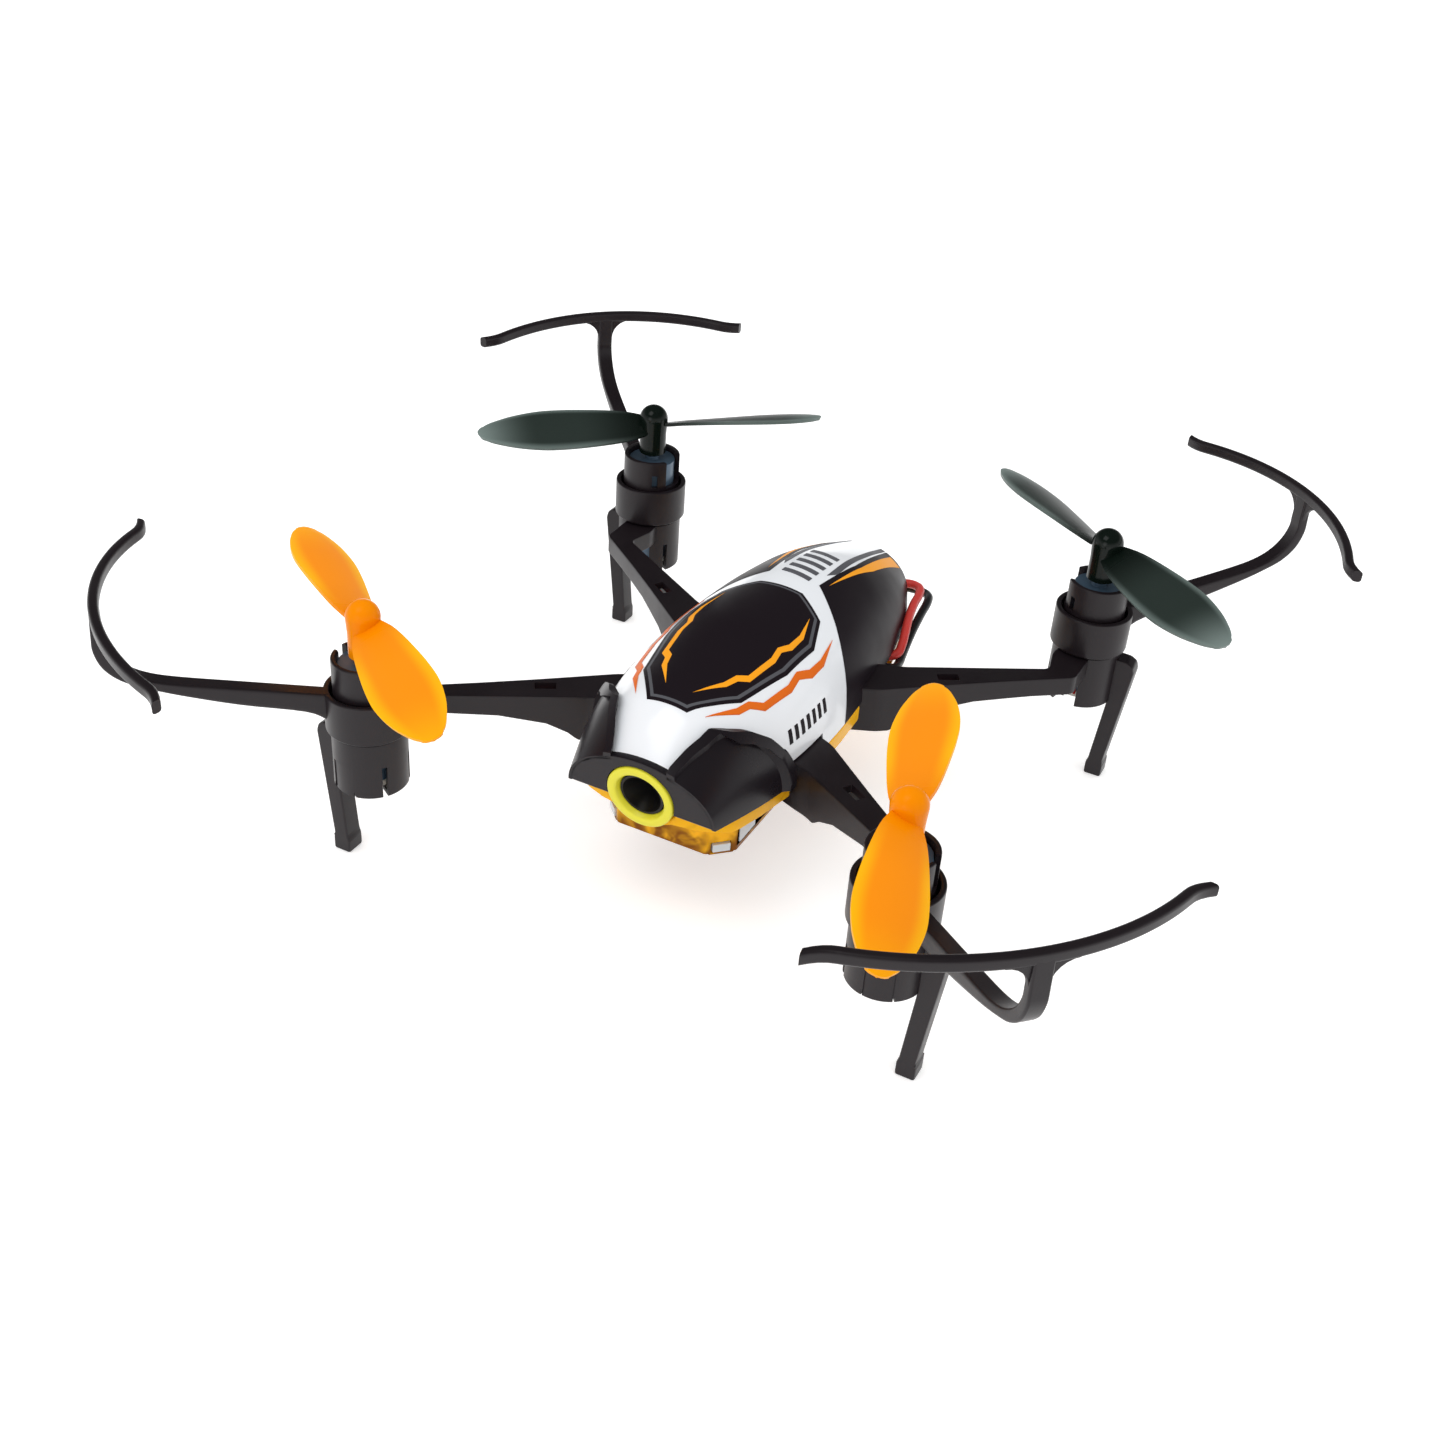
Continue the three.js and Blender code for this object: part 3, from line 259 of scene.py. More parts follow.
def softened(shape, width):
    """Rounds the edges that turn by more than 34 degrees, as a mould does."""
    least = math.radians(34)
    sharp = [e for e in shape.edges if len(e.link_faces) == 2 and e.calc_face_angle() > least]
    bmesh.ops.bevel(shape, geom=sharp, affect="EDGES", offset=width, offset_type="OFFSET", segments=2,
                    profile=0.5, material=-1, clamp_overlap=False)
    return shape


def closed_up(shape):
    """Merges the corners that meet and turns the faces outwards."""
    bmesh.ops.remove_doubles(shape, verts=shape.verts, dist=merge_distance)
    bmesh.ops.recalc_face_normals(shape, faces=shape.faces)
    return shape


def slab(outline, low, high, stand="xyz", corner=0.0, edge=0.0):
    """An outline raised from low to high; stand names the axes of its width, depth and height."""
    shape = bmesh.new()
    shape.faces.new([shape.verts.new((u, v, low)) for u, v in outline])
    if corner:
        rounded(shape, shape.verts[:], corner)
    top = bmesh.ops.extrude_face_region(shape, geom=shape.faces[:])["geom"]
    bmesh.ops.translate(shape, verts=[v for v in top if isinstance(v, bmesh.types.BMVert)],
                        vec=(0, 0, high - low))
    axes = Matrix([[stand[column] == axis for column in range(3)] for axis in "xyz"]).to_4x4()
    bmesh.ops.transform(shape, matrix=axes, verts=shape.verts)
    bmesh.ops.recalc_face_normals(shape, faces=shape.faces)
    return softened(shape, edge) if edge else shape


def turned(profile, steps=72, corner=0.0):
    """A closed profile of radius and height, turned about the upright axis."""
    shape = bmesh.new()
    shape.faces.new([shape.verts.new((radius, 0, z)) for radius, z in profile])
    if corner:
        rounded(shape, [v for v in shape.verts if v.co.x > 0.01], corner, segments=3)
    bmesh.ops.delete(shape, geom=shape.faces[:], context="FACES_KEEP_BOUNDARY")
    axial = [e for e in shape.edges if all(v.co.x < 0.001 for v in e.verts)]
    bmesh.ops.delete(shape, geom=axial, context="EDGES")
    bmesh.ops.spin(shape, geom=shape.verts[:] + shape.edges[:], cent=(0, 0, 0), axis=(0, 0, 1),
                   angle=2 * math.pi, steps=steps, use_merge=True)
    return closed_up(shape)


def arc(radius, centre, start, end, steps):
    """Points of a circle about a centre, from one angle in degrees to another."""
    turns = [math.radians(start + (end - start) * step / steps) for step in range(steps + 1)]
    return [(centre[0] + radius * math.cos(t), centre[1] + radius * math.sin(t)) for t in turns]


def rectangle(width, depth):
    """A rectangle about the middle."""
    x, y = width / 2, depth / 2
    return [(-x, -y), (x, -y), (x, y), (-x, y)]


def about(angle):
    """A turn about the upright axis, in degrees."""
    return Matrix.Rotation(math.radians(angle), 4, "Z")


def moved(x, y, z=0):
    """A shift along the three axes."""
    return Matrix.Translation((x, y, z))


def flipped(x, y=1):
    """A mirror in each of the two axes that is given as -1."""
    return Matrix.Diagonal((x, y, 1, 1))


def placed(shape, *steps):
    """The shape after each matrix in turn; its faces are turned outwards again after a mirror."""
    for step in steps:
        bmesh.ops.transform(shape, matrix=step, verts=shape.verts)
        if step.determinant() < 0:
            bmesh.ops.reverse_faces(shape, faces=shape.faces)
    return shape


def together(*shapes):
    """The shapes in one mesh, each left closed as it is."""
    whole = bmesh.new()
    for shape in shapes:
        mesh = bpy.data.meshes.new("part")
        shape.to_mesh(mesh)
        whole.from_mesh(mesh)
        bpy.data.meshes.remove(mesh)
    return whole


def carved(shape, operation, *tools):
    """The shape with each tool cut from it, joined to it or kept in common with it."""
    blocks = []
    for part in (shape, *tools):
        block = bpy.data.objects.new("block", bpy.data.meshes.new("block"))
        part.to_mesh(block.data)
        bpy.context.scene.collection.objects.link(block)
        blocks.append(block)
    for tool in blocks[1:]:
        step = blocks[0].modifiers.new("carve", "BOOLEAN")
        step.operation, step.object, step.solver = operation, tool, "EXACT"
    seen = blocks[0].evaluated_get(bpy.context.evaluated_depsgraph_get())
    mesh = bpy.data.meshes.new_from_object(seen)
    result = bmesh.new()
    result.from_mesh(mesh)
    for data in [mesh] + [block.data for block in blocks]:
        bpy.data.meshes.remove(data)
    bmesh.ops.remove_doubles(result, verts=result.verts, dist=merge_distance)
    return result


def finished(name, shape, look, body, slot, *stands_for, sharp=40):
    """A piece in metres, smooth between its sharp edges, riding on a body."""
    bmesh.ops.transform(shape, matrix=Matrix.Scale(0.001, 4), verts=shape.verts)
    for edge in shape.edges:
        edge.smooth = len(edge.link_faces) != 2 or edge.calc_face_angle() < math.radians(sharp)
    for face in shape.faces:
        face.smooth = True
    piece = bpy.data.objects.new(name, bpy.data.meshes.new(name))
    shape.to_mesh(piece.data)
    bpy.context.scene.collection.objects.link(piece)
    piece.data.materials.append(look)
    even = piece.modifiers.new("even shading", "WEIGHTED_NORMAL")
    even.keep_sharp = True
    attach(piece, body)
    if stands_for:
        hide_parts(*stands_for)


def two_tone(tree, share, first, second):
    """A colour between two others, each an sRGB hex or a socket; the first where the share is 0."""
    first, second = [linear(tone) if isinstance(tone, str) else tone for tone in (first, second)]
    return add(tree, "ShaderNodeMix", {"data_type": "RGBA"}, {0: share, 6: first, 7: second}).outputs[2]


# Satin ABS, moulded against a finely eroded tool: a near-black brown with a soft broad sheen.
frame_abs, tree, shader = finish_of("satin moulded ABS", "#1E181B", IOR=1.52, Specular_IOR_Level=0.3)
patches = grained(tree, shader, 0.28, 0.012, 0.3, 0.42)[1]
tree.links.new(two_tone(tree, patches, "#181316", "#221B1F"), shader.inputs["Base Color"])

arm_outline = [(10.75, 5.43), (16.0, 7.9), (24.7, 15.3), (30.3, 19.9), (37.9, 25.9), (38.0, 31.8),
               (37.4, 34.5), (33.4, 34.5), (32.8, 30.8), (33.8, 26.3), (24.8, 20.7), (16.1, 15.3),
               (13.8, 14.5), (10.75, 13.25)]
arm_side = [(0, 22), (0, 14.2), (17.4, 14.2), (17.9, 14.6), (18.7, 15.4), (21.1, 16.8), (26.5, 18.0),
            (33.0, 18.33), (43.6, 18.33), (43.6, 22)]
leg_side = [(3.42, 0), (6, 0), (6, 2), (5.83, 2.6), (7.56, 18.55), (7.26, 19.6), (6.3, 20.14), (4.5, 20.2),
            (4.56, 13), (3.66, 2.6), (3.42, 2)]
leg_half_width = 1.4
foot_hole, foot_hole_top, lead_bore, lead_bore_top = 2.9, 13.6, 4.25, 21.2
rim_slot_foot, sight_width, sight_foot, sight_top = 27.25, 0.9, 27.5, 29.5
window_width, window_foot, window_top, relief_width, relief_top = 2.4, 17.8, 20.1, 0.7, 17.6
recess_radius, recess_top, sill_top = 4.72, 17.4, 13.7
slot_length, slot_width, slot_x, slot_y = 3, 1.5, 22.6, 16.1
tray_width, tray_length, tray_rim, tray_foot, tray_top = 23.5, 31, 2, 17.1, 18.8
bar_length, bar_breadth, bar_y = 21.5, 2.4, 10.5
at_hub = moved(hub, hub)


def ring_piece(start, end, inner, outer, low, high):
    """A piece of a ring between two angles in degrees."""
    return slab(arc(outer, (0, 0), start, end, 8) + arc(inner, (0, 0), end, start, 8), low, high)


def frame_quarter(rim_side, rim_slot_width, leg_shift):
    """Arm, pod and leg in the quarter where x and y are positive."""
    below, above, past_skirt = 12, 33, 6
    arm = carved(slab(arm_outline, below, frame_top, corner=0.7), "INTERSECT", slab(arm_side, 0, 60, "xzy"))
    softened(arm, 0.3)
    pod = turned([(0, pod_foot), (skirt_radius, pod_foot), (skirt_radius, frame_top),
                  (sleeve_radius, frame_top + 0.05), (sleeve_radius, pod_top), (0, pod_top)], corner=0.22)
    leg = slab(leg_side, -leg_half_width, leg_half_width, "xzy", corner=0.35, edge=0.28)
    whole = carved(arm, "UNION", placed(pod, at_hub), placed(leg, moved(hub, hub + leg_shift)))

    channel = slab(grown(arm_outline, -arm_wall), 11, frame_top - arm_roof)
    (near_x, near_y), (far_x, far_y) = arm_outline[11], arm_outline[10]
    heading = math.degrees(math.atan2(far_y - near_y, far_x - near_x))
    slot = placed(slab(rectangle(slot_length, slot_width), 18, 23, corner=0.15), about(heading),
                  moved(slot_x, slot_y))
    bore = turned([(0, below), (foot_hole, below), (foot_hole, foot_hole_top), (lead_bore, foot_hole_top),
                   (lead_bore, lead_bore_top), (motor_bore, 21.85), (motor_bore, 31.35), (3.85, 31.7),
                   (3.85, above), (0, above)])
    rim_slot = slab(rectangle(past_skirt, rim_slot_width), rim_slot_foot, above)
    placed(rim_slot, moved(rim_side * past_skirt / 2, 0))

    def opening(width, foot, top, turn):
        """An opening through one side of the pod, at an angle from its inner side."""
        return placed(slab(rectangle(width, past_skirt), foot, top), moved(0, -past_skirt / 2), about(turn))

    openings = [opening(window_width, window_foot, window_top, 0),
                opening(sight_width, sight_foot, sight_top, -36),
                *[opening(relief_width, below, relief_top, turn) for turn in (-62, -122)]]
    recess = [ring_piece(56, 99, recess_radius, past_skirt, below, recess_top),
              *[ring_piece(start, start + 3, 3, past_skirt, below, sill_top) for start in (53, 99)]]
    pod_cuts = [placed(cut, at_hub) for cut in (bore, rim_slot, *openings, *recess)]
    return carved(whole, "DIFFERENCE", channel, *pod_cuts, slot)


rear, front = frame_quarter(-1, 4.2, 0.7), frame_quarter(1, 1.6, 0)
quarters = [placed(quarter.copy(), flipped(x, y))
            for quarter, y in ((rear, 1), (front, -1)) for x in (1, -1)]
tray = slab(rectangle(tray_width, tray_length), tray_foot, tray_top, corner=2, edge=0.2)
tray_hole = slab(rectangle(tray_width - 2 * tray_rim, tray_length - 2 * tray_rim), 16, 20, corner=1)
bar = slab(rectangle(bar_length, bar_breadth), tray_foot + 0.05, tray_top - 0.05, edge=0.2)
bars = [placed(bar.copy(), moved(0, y)) for y in (-bar_y, bar_y)]
tray = carved(tray, "DIFFERENCE", tray_hole)
finished("frame_moulding", together(tray, *bars, *quarters), frame_abs, "airframe", "frame_plastic",
         "chassis_frame")

# Propeller guards: thin ABS arcs that clip over the pods; ring, arm, stem and bar are one moulding.
# The stem runs into the bar through curved fillets, and the bar's ends turn outwards as blunt hooks.
# Each row of the arm has its place, then the distance from the pod and the height below and above.
guard_rows = [(0, 4.99, 23.17, 4.99, 27.11), (1, 7.79, 24.88, 7.9, 27.73), (2, 15.58, 26.98, 15.2, 29.3),
              (3, 22.5, 29.3, 21.9, 30.75), (4, 26.3, 30.85, 25.4, 31.75), (5, 28.9, 32.2, 27.7, 33.0),
              (6, 30.7, 34.1, 29.3, 34.75), (7, 31.5, 36.4, 30.1, 36.7), (8, 31.5, 38.5, 30.1, 38.5),
              (9, 31.28, 42.5, 30.1, 42.5)]
steps_per_row, arm_width = 4, 2.3
ring_bore, ring_radius, ring_foot, ring_top = 4.7, 5.45, 21.5, 27.1
bar_radius, bar_span, bar_top = 35.0, 36.8, 42.9
bar_width, bar_depth = 1.25, 1.6
bar_centre = 30.7 - bar_radius
hook_span, hook_reach, bar_droop = 5, 1.2, 0.9
fillet, web_half, web_foot, web_top, web_back, web_face = 2.85, 4, 38.45, 42.1, 30.3, 31.0


def smooth_row(rows, place, column=1):
    """A column of a table of places and values, read along a smooth curve through its rows."""
    last = len(rows) - 1
    i = max(0, min(last - 1, sum(1 for row in rows[1:] if row[0] < place)))
    spots = [rows[max(0, min(last, i + k))] for k in (-1, 0, 1, 2)]
    (x0, y0), (x1, y1), (x2, y2), (x3, y3) = [(spot[0], spot[column]) for spot in spots]
    part = (place - x1) / (x2 - x1)
    rise = x2 - x1
    start = (y2 - y0) / (x2 - x0) * rise
    end = (y3 - y1) / (x3 - x1) * rise
    return ((2 * part ** 3 - 3 * part ** 2 + 1) * y1 + (part ** 3 - 2 * part ** 2 + part) * start
            + (3 * part ** 2 - 2 * part ** 3) * y2 + (part ** 3 - part ** 2) * end)


def guard_bar():
    """The curved bar: a rounded section spun about its centre, drooping and flaring at its ends."""
    bar = bmesh.new()
    half = bar_width / 2
    section = [(-half, -bar_depth), (half, -bar_depth), (half, 0), (-half, 0)]
    bar.faces.new([bar.verts.new((bar_radius + u, 0, bar_top + v)) for u, v in section])
    rounded(bar, bar.verts[:], 0.42)
    bmesh.ops.transform(bar, verts=bar.verts, matrix=about(-bar_span))
    bmesh.ops.spin(bar, geom=bar.faces[:] + bar.edges[:] + bar.verts[:], cent=(0, 0, 0), axis=(0, 0, 1),
                   angle=math.radians(2 * bar_span), steps=56)
    for vert in bar.verts:
        turn = math.degrees(math.atan2(vert.co.y, vert.co.x))
        flare = max(0, abs(turn) - bar_span + hook_span) / hook_span
        outwards = Vector((vert.co.x, vert.co.y, 0)).normalized()
        vert.co += outwards * hook_reach * flare ** 2
        vert.co.z -= bar_droop * (turn / bar_span) ** 2
    bmesh.ops.translate(bar, verts=bar.verts, vec=(bar_centre, 0, 0))
    return closed_up(bar)


def guard_station(place):
    """Where the arm's section stands at a place along it, and how deep it is there."""
    low_x, low_z, high_x, high_z = [smooth_row(guard_rows, place, column) for column in (1, 2, 3, 4)]
    low, high = Vector((low_x, 0, low_z)), Vector((high_x, 0, high_z))
    thick = high - low
    ahead = Vector((thick.z, 0, -thick.x)).normalized()
    turn = Matrix([(0, thick.x, ahead.x, 0), (1, 0, 0, 0), (0, thick.z, ahead.z, 0), (0, 0, 0, 1)])
    return Matrix.Translation((low + high) / 2) @ turn


def guard_arm():
    """A rounded section drawn out along the arm and up the stem, thinner and steeper as it goes."""
    arm = bmesh.new()
    arm.faces.new([arm.verts.new((u, v, 0)) for u, v in rectangle(arm_width, 1)])
    rounded(arm, arm.verts[:], 0.27)
    end = arm.faces[:]
    now = guard_station(0)
    bmesh.ops.transform(arm, matrix=now, verts=arm.verts)
    for step in range(1, (len(guard_rows) - 1) * steps_per_row + 1):
        after = guard_station(step / steps_per_row)
        drawn = bmesh.ops.extrude_face_region(arm, geom=end)["geom"]
        end = [face for face in drawn if isinstance(face, bmesh.types.BMFace)]
        bmesh.ops.transform(arm, matrix=after @ now.inverted(), verts=list(end[0].verts))
        now = after
    within = [f for f in arm.faces if all(len(e.link_faces) > 2 for e in f.edges)]
    bmesh.ops.delete(arm, geom=within, context="FACES_ONLY")
    bmesh.ops.recalc_face_normals(arm, faces=arm.faces)
    return arm


def guard():
    """The ring, the arm with its stem, the filleted web at the stem's top, and the bar."""
    ring = turned([(ring_bore, ring_foot), (ring_radius, ring_foot), (ring_radius, ring_top),
                   (ring_bore, ring_top)], corner=0.2)
    curve = arc(fillet, (web_half, web_foot), 180, 90, 6)
    outline = curve + [(web_half, web_top), (-web_half, web_top)] + [(-u, v) for u, v in reversed(curve)]
    web = slab(outline, web_back, web_face, "yzx", edge=0.12)
    return together(ring, guard_arm(), web, guard_bar())


# Each corner has the signs of its x and y, and the angle at which its guard points outwards.
corners = {"front_left": (1, -1, -45), "front_right": (-1, -1, 225), "rear_left": (1, 1, 45),
           "rear_right": (-1, 1, 135)}
for corner, (x, y, heading) in corners.items():
    clipped_on = placed(guard(), about(heading), moved(x * hub, y * hub))
    finished(f"guard_{corner}", clipped_on, frame_abs, "airframe", "frame_plastic", f"prop_guard_{corner}")

# Motors: 7 mm brushed motors pressed into the pods, each a drawn steel can round a magnet and a winding.
# Only the can's rolled top shows, a blued grey; the cap, magnet, winding and shaft are inside.
def dressed(name, look):
    """Gives a CAD node that stays in the scene its material."""
    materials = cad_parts[name].data.materials
    materials.clear()
    materials.append(look)


# Steel drawn thin and blued: smooth, with a dark blue-grey oxide that hides most of the metal.
can_steel = finish("blued drawn steel", "#4C6276", (0.12, 0.004, 0.28, 0.42), Metallic=0.35,
                   Specular_IOR_Level=0.6)
# Nylon moulded without paint: ivory white and a little waxy.
cap_nylon = finish("moulded nylon", "#E4E1D8", (0.4, 0.01, 0.42, 0.55), IOR=1.53)
# Nickel plated on a pressed magnet: grey metal with soft reflections.
magnet_nickel = finish("nickel-plated magnet", "#5A5D61", (0.3, 0.01, 0.3, 0.5), Metallic=1.0)
# Enamelled copper wire wound in even turns, drawn 0.2 mm apart: fine shining ridges round the rotor.
winding_copper, tree, shader = finish_of("wound enamelled copper", "#B4662F", Metallic=1.0, Roughness=0.35)
place = add(tree, "ShaderNodeTexCoord").outputs["Object"]
turns = add(tree, "ShaderNodeTexWave", {"bands_direction": "Z"}, {"Vector": place, "Scale": 1500.0})
relief = add(tree, "ShaderNodeBump", {}, {"Height": turns.outputs["Fac"], "Distance": 0.00005})
tree.links.new(relief.outputs[0], shader.inputs["Normal"])
# Ground steel: bright, with very fine marks.
shaft_steel = finish("ground shaft steel", "#B9BCC0", (0.1, 0.002, 0.2, 0.3), Metallic=1.0)
plus_lead = insulation("red PVC insulation", "#B5201B")
minus_lead = insulation("blue PVC insulation", "#20409A")
motor_looks = {"end_cap": cap_nylon, "magnet": magnet_nickel, "rotor": winding_copper, "shaft": shaft_steel,
               "lead_plus": plus_lead, "lead_minus": minus_lead}
can_profile = [(3.2, 14.8), (3.5, 14.8), (3.5, 30.8), (1.1, 30.8), (1.1, 31.3), (0.5, 31.3), (0.5, 30.5),
               (3.2, 30.5)]
for corner, (x, y, _) in corners.items():
    can = placed(turned(can_profile, corner=0.12), moved(x * hub, y * hub))
    finished(f"motor_case_{corner}", can, can_steel, "airframe", "motor_steel", f"motor_can_{corner}")
    for part, look in motor_looks.items():
        dressed(f"motor_{part}_{corner}", look)

# Propellers: two blades and a domed hub moulded in one piece of polypropylene, pushed on the shaft.
# The front pair is orange, a little paler and yellower at its thin edges; the rear pair is green-black,
# with a painted sheen as paler edges and tips.
# Each row of a blade has its place along the blade and its share of the full width there.
blade_rows = [(0.05, 0.48), (0.13, 0.66), (0.22, 0.78), (0.36, 0.9), (0.5, 0.985), (0.64, 1), (0.78, 0.86),
              (0.88, 0.65), (0.95, 0.42), (1, 0.08)]
prop_radius, prop_plane, chord_width, blade_wall, blade_camber = 27.2, 36.3, 8.3, 0.5, 0.5
root, tip_start, tip_share = 0.05, 0.97, 0.345
root_pitch, twist = 27, 14
hub_foot, hub_radius, hub_shoulder = 31.9, 2.05, 35.05
dome_radius, dome_centre, shaft_radius, shaft_end = 2.2, 37.25, 0.5, 37.6


def blade(spin):
    """One blade along +x, its high edge leading; its own map runs along it and across it."""
    shape = bmesh.new()
    shape.loops.layers.uv.new("blade")
    bmesh.ops.create_grid(shape, x_segments=34, y_segments=12, size=0.5, calc_uvs=True)
    for vert in shape.verts:
        along = min(root + (1 - root) * (1 - (0.5 - vert.co.x) ** 1.5), 0.999)
        across = vert.co.y
        round_tip = tip_share * math.sqrt((1 - along) / (1 - tip_start))
        share = smooth_row(blade_rows, along) if along < tip_start else round_tip
        pitch = math.radians(root_pitch - twist * along)
        width, camber = across * chord_width * share, blade_camber * share * (1 - 4 * across * across)
        y = spin * (width * math.cos(pitch) + camber * math.sin(pitch))
        z = prop_plane - width * math.sin(pitch) + camber * math.cos(pitch)
        vert.co = Vector((along * prop_radius, y, z))
    closed_up(shape)
    if sum(face.normal.z for face in shape.faces) < 0:
        bmesh.ops.reverse_faces(shape, faces=shape.faces)
    bmesh.ops.solidify(shape, geom=shape.faces[:], thickness=blade_wall)
    bmesh.ops.recalc_face_normals(shape, faces=shape.faces)
    return shape


def prop_finish(name, hub_tone, body, edge, tip, gloss, edge_start):
    """Moulded polypropylene: smooth and deep in tone at the thick hub, satin and paler at thin edges and
    the tip; on the green-black pair the paler edges and tip are a painted sheen.
    """
    look, tree, shader = finish_of(name, body, IOR=1.49, Specular_IOR_Level=gloss)
    lifted(tree, shader, 0.6, 0.01)
    blade_map = add(tree, "ShaderNodeUVMap", {"uv_map": "blade"})
    parts = add(tree, "ShaderNodeSeparateXYZ", {}, {"Vector": blade_map.outputs[0]})
    along = parts.outputs["X"]
    from_middle = combined(tree, "SUBTRACT", parts.outputs["Y"], 0.5)
    off_centre = add(tree, "ShaderNodeMath", {"operation": "ABSOLUTE"}, {0: from_middle}).outputs[0]
    # Paler edges and tip: their own paler tone on the orange pair, a painted sheen on the green-black pair.
    tone = two_tone(tree, graded(tree, off_centre, edge_start, 0.5), body, edge)
    tone = two_tone(tree, graded(tree, along, 0.5, 1.0), tone, tip)
    tone = two_tone(tree, graded(tree, along, 0.3, 0.0), tone, hub_tone)
    tree.links.new(tone, shader.inputs["Base Color"])
    tree.links.new(graded(tree, along, 0.0, 0.12, 0.15, 0.36), shader.inputs["Roughness"])
    return look


orange_pp = prop_finish("orange moulded polypropylene", hub_tone="#F28A00", body="#FA9000", edge="#FFB600",
                        tip="#FFA800", gloss=0.08, edge_start=0.26)
# The green-black pair's paler edge and tip colours are a painted sheen.
green_pp = prop_finish("green-black moulded polypropylene", hub_tone="#0C1410", body="#28322E",
                       edge="#5F6C68", tip="#75837F", gloss=0.22, edge_start=0.36)
# Each propeller has the sense in which it turns and the angle at which it rests.
spins = {"front_left": (1, -73.9), "front_right": (-1, -36.2), "rear_left": (-1, -38.9),
         "rear_right": (1, 42.4)}
hub_profile = [(shaft_radius, hub_foot), (hub_radius, hub_foot), (hub_radius, hub_shoulder),
               *arc(dome_radius, (0, dome_centre), 0, 81, 9), (0, dome_centre + dome_radius),
               (0, shaft_end), (shaft_radius, shaft_end)]
for corner, (spin, angle) in spins.items():
    x, y, _ = corners[corner]
    hub_shape = turned(hub_profile, steps=48)
    hub_shape.loops.layers.uv.new("blade")
    propeller = together(hub_shape, blade(spin), placed(blade(spin), about(180)))
    look, slot = (orange_pp, "orange_plastic") if y < 0 else (green_pp, "dark_green_plastic")
    finished(f"propeller_moulding_{corner}", placed(propeller, about(angle), moved(x * hub, y * hub)), look,
             f"rotating_{corner}", slot, f"propeller_{corner}", sharp=50)

# Canopy: a thin glossy shell, injection moulded in white ABS, clipped over the frame.
# It is an arch whose height and width follow the rows below, from the nose at 0 to the tail at 1.
# Each row has its place, then the share of the full height and of the full half width.
canopy_rows = [(0, 0.42, 0.66), (0.091, 0.826, 0.801), (0.15, 0.894, 0.879), (0.231, 0.929, 0.957),
               (0.3, 0.967, 0.99), (0.369, 1, 1), (0.447, 0.995, 1), (0.537, 0.972, 0.979),
               (0.617, 0.943, 0.95), (0.7, 0.894, 0.901), (0.781, 0.823, 0.844), (0.893, 0.655, 0.73),
               (1, 0.47, 0.53)]
canopy_nose, canopy_tail, body_base, canopy_rise, canopy_half = -31.0, 38.4, 19.0, 14.1, 14.1
canopy_wall, core_base = 0.8, 17.5
nose_lean = math.radians(9)
plate_front, lens_height, camera_bore = -29.9, 20.3, 4.94
past_sides = 30


def canopy_point(y, angle, offset):
    """The skin's place at a distance along the body and an angle over it, moved out by an offset."""
    along = max(0, min(1, (y - canopy_nose) / (canopy_tail - canopy_nose)))
    half = canopy_half * smooth_row(canopy_rows, along, 2) + offset
    rise = canopy_rise * smooth_row(canopy_rows, along, 1) + offset
    return Vector((half * math.cos(angle), y, body_base + rise * math.sin(angle)))


def canopy_block(offset, base=body_base, front=canopy_nose, back=canopy_tail):
    """A solid up to the canopy's skin, moved out by an offset: a grid bent over, then closed below."""
    shape = bmesh.new()
    bmesh.ops.create_grid(shape, x_segments=56, y_segments=72, size=0.5)
    for vert in shape.verts:
        y = front + (back - front) * (vert.co.y + 0.5)
        vert.co = canopy_point(y, math.pi * (0.5 - vert.co.x), offset)
    sides = [e for e in shape.edges if e.is_boundary and all(v.co.z < body_base + 0.01 for v in e.verts)
             and abs(e.verts[0].co.y - e.verts[1].co.y) > 0.01]
    foot = bmesh.ops.extrude_edge_only(shape, edges=sides)["geom"]
    for vert in [v for v in foot if isinstance(v, bmesh.types.BMVert)]:
        vert.co.z = base - 0.01
    lower = [e for e in foot if isinstance(e, bmesh.types.BMEdge) and e.is_boundary
             and all(v.co.z < base for v in e.verts)]
    bmesh.ops.bridge_loops(shape, edges=lower)
    bmesh.ops.holes_fill(shape, edges=[e for e in shape.edges if e.is_boundary])
    bmesh.ops.recalc_face_normals(shape, faces=shape.faces)
    return shape


def canopy_core(offset):
    """The room within the canopy's skin, moved out by an offset and open past both ends and below."""
    return canopy_block(offset, core_base, canopy_nose - 1, canopy_tail + 1)


def plate_face(z):
    """How far forward the leaning face of the hood's plate is at a height."""
    return plate_front - (z - body_base) * math.tan(nose_lean)


def nose_front(setback):
    """The space ahead of a plane that stands behind the hood's plate by a setback."""
    front, low, high = -34, 17, 35
    plane = [(plate_face(z) + setback, z) for z in (low, high)]
    return slab([(front, low), *plane, (front, high)], -past_sides, past_sides, "yzx")


# Glossy ABS from a polished mould: slightly bluish white, mirroring the lamp as one long soft streak.
white_abs = finish("glossy moulded ABS", "#EEF1F5", (1.2, 0.006, 0.14, 0.22), IOR=1.54, Coat_Weight=0.3,
                   Coat_Roughness=0.05)
camera_place = moved(0, -30, lens_height) @ Matrix.Rotation(math.pi / 2 + nose_lean, 4, "X")
camera_hole = placed(turned([(0, -9), (camera_bore, -9), (camera_bore, 5), (0, 5)]), camera_place)
arm_clearances = [placed(slab(grown(arm_outline, 0.3), 12, 21.5), flipped(x, y))
                  for x in (1, -1) for y in (1, -1)]
inside = carved(canopy_core(-canopy_wall), "DIFFERENCE", nose_front(2.1))
shell = carved(canopy_block(0), "DIFFERENCE", inside, nose_front(0.95), camera_hole, *arm_clearances)
finished("canopy_shell", shell, white_abs, "airframe", "canopy_plastic", "canopy", sharp=50)

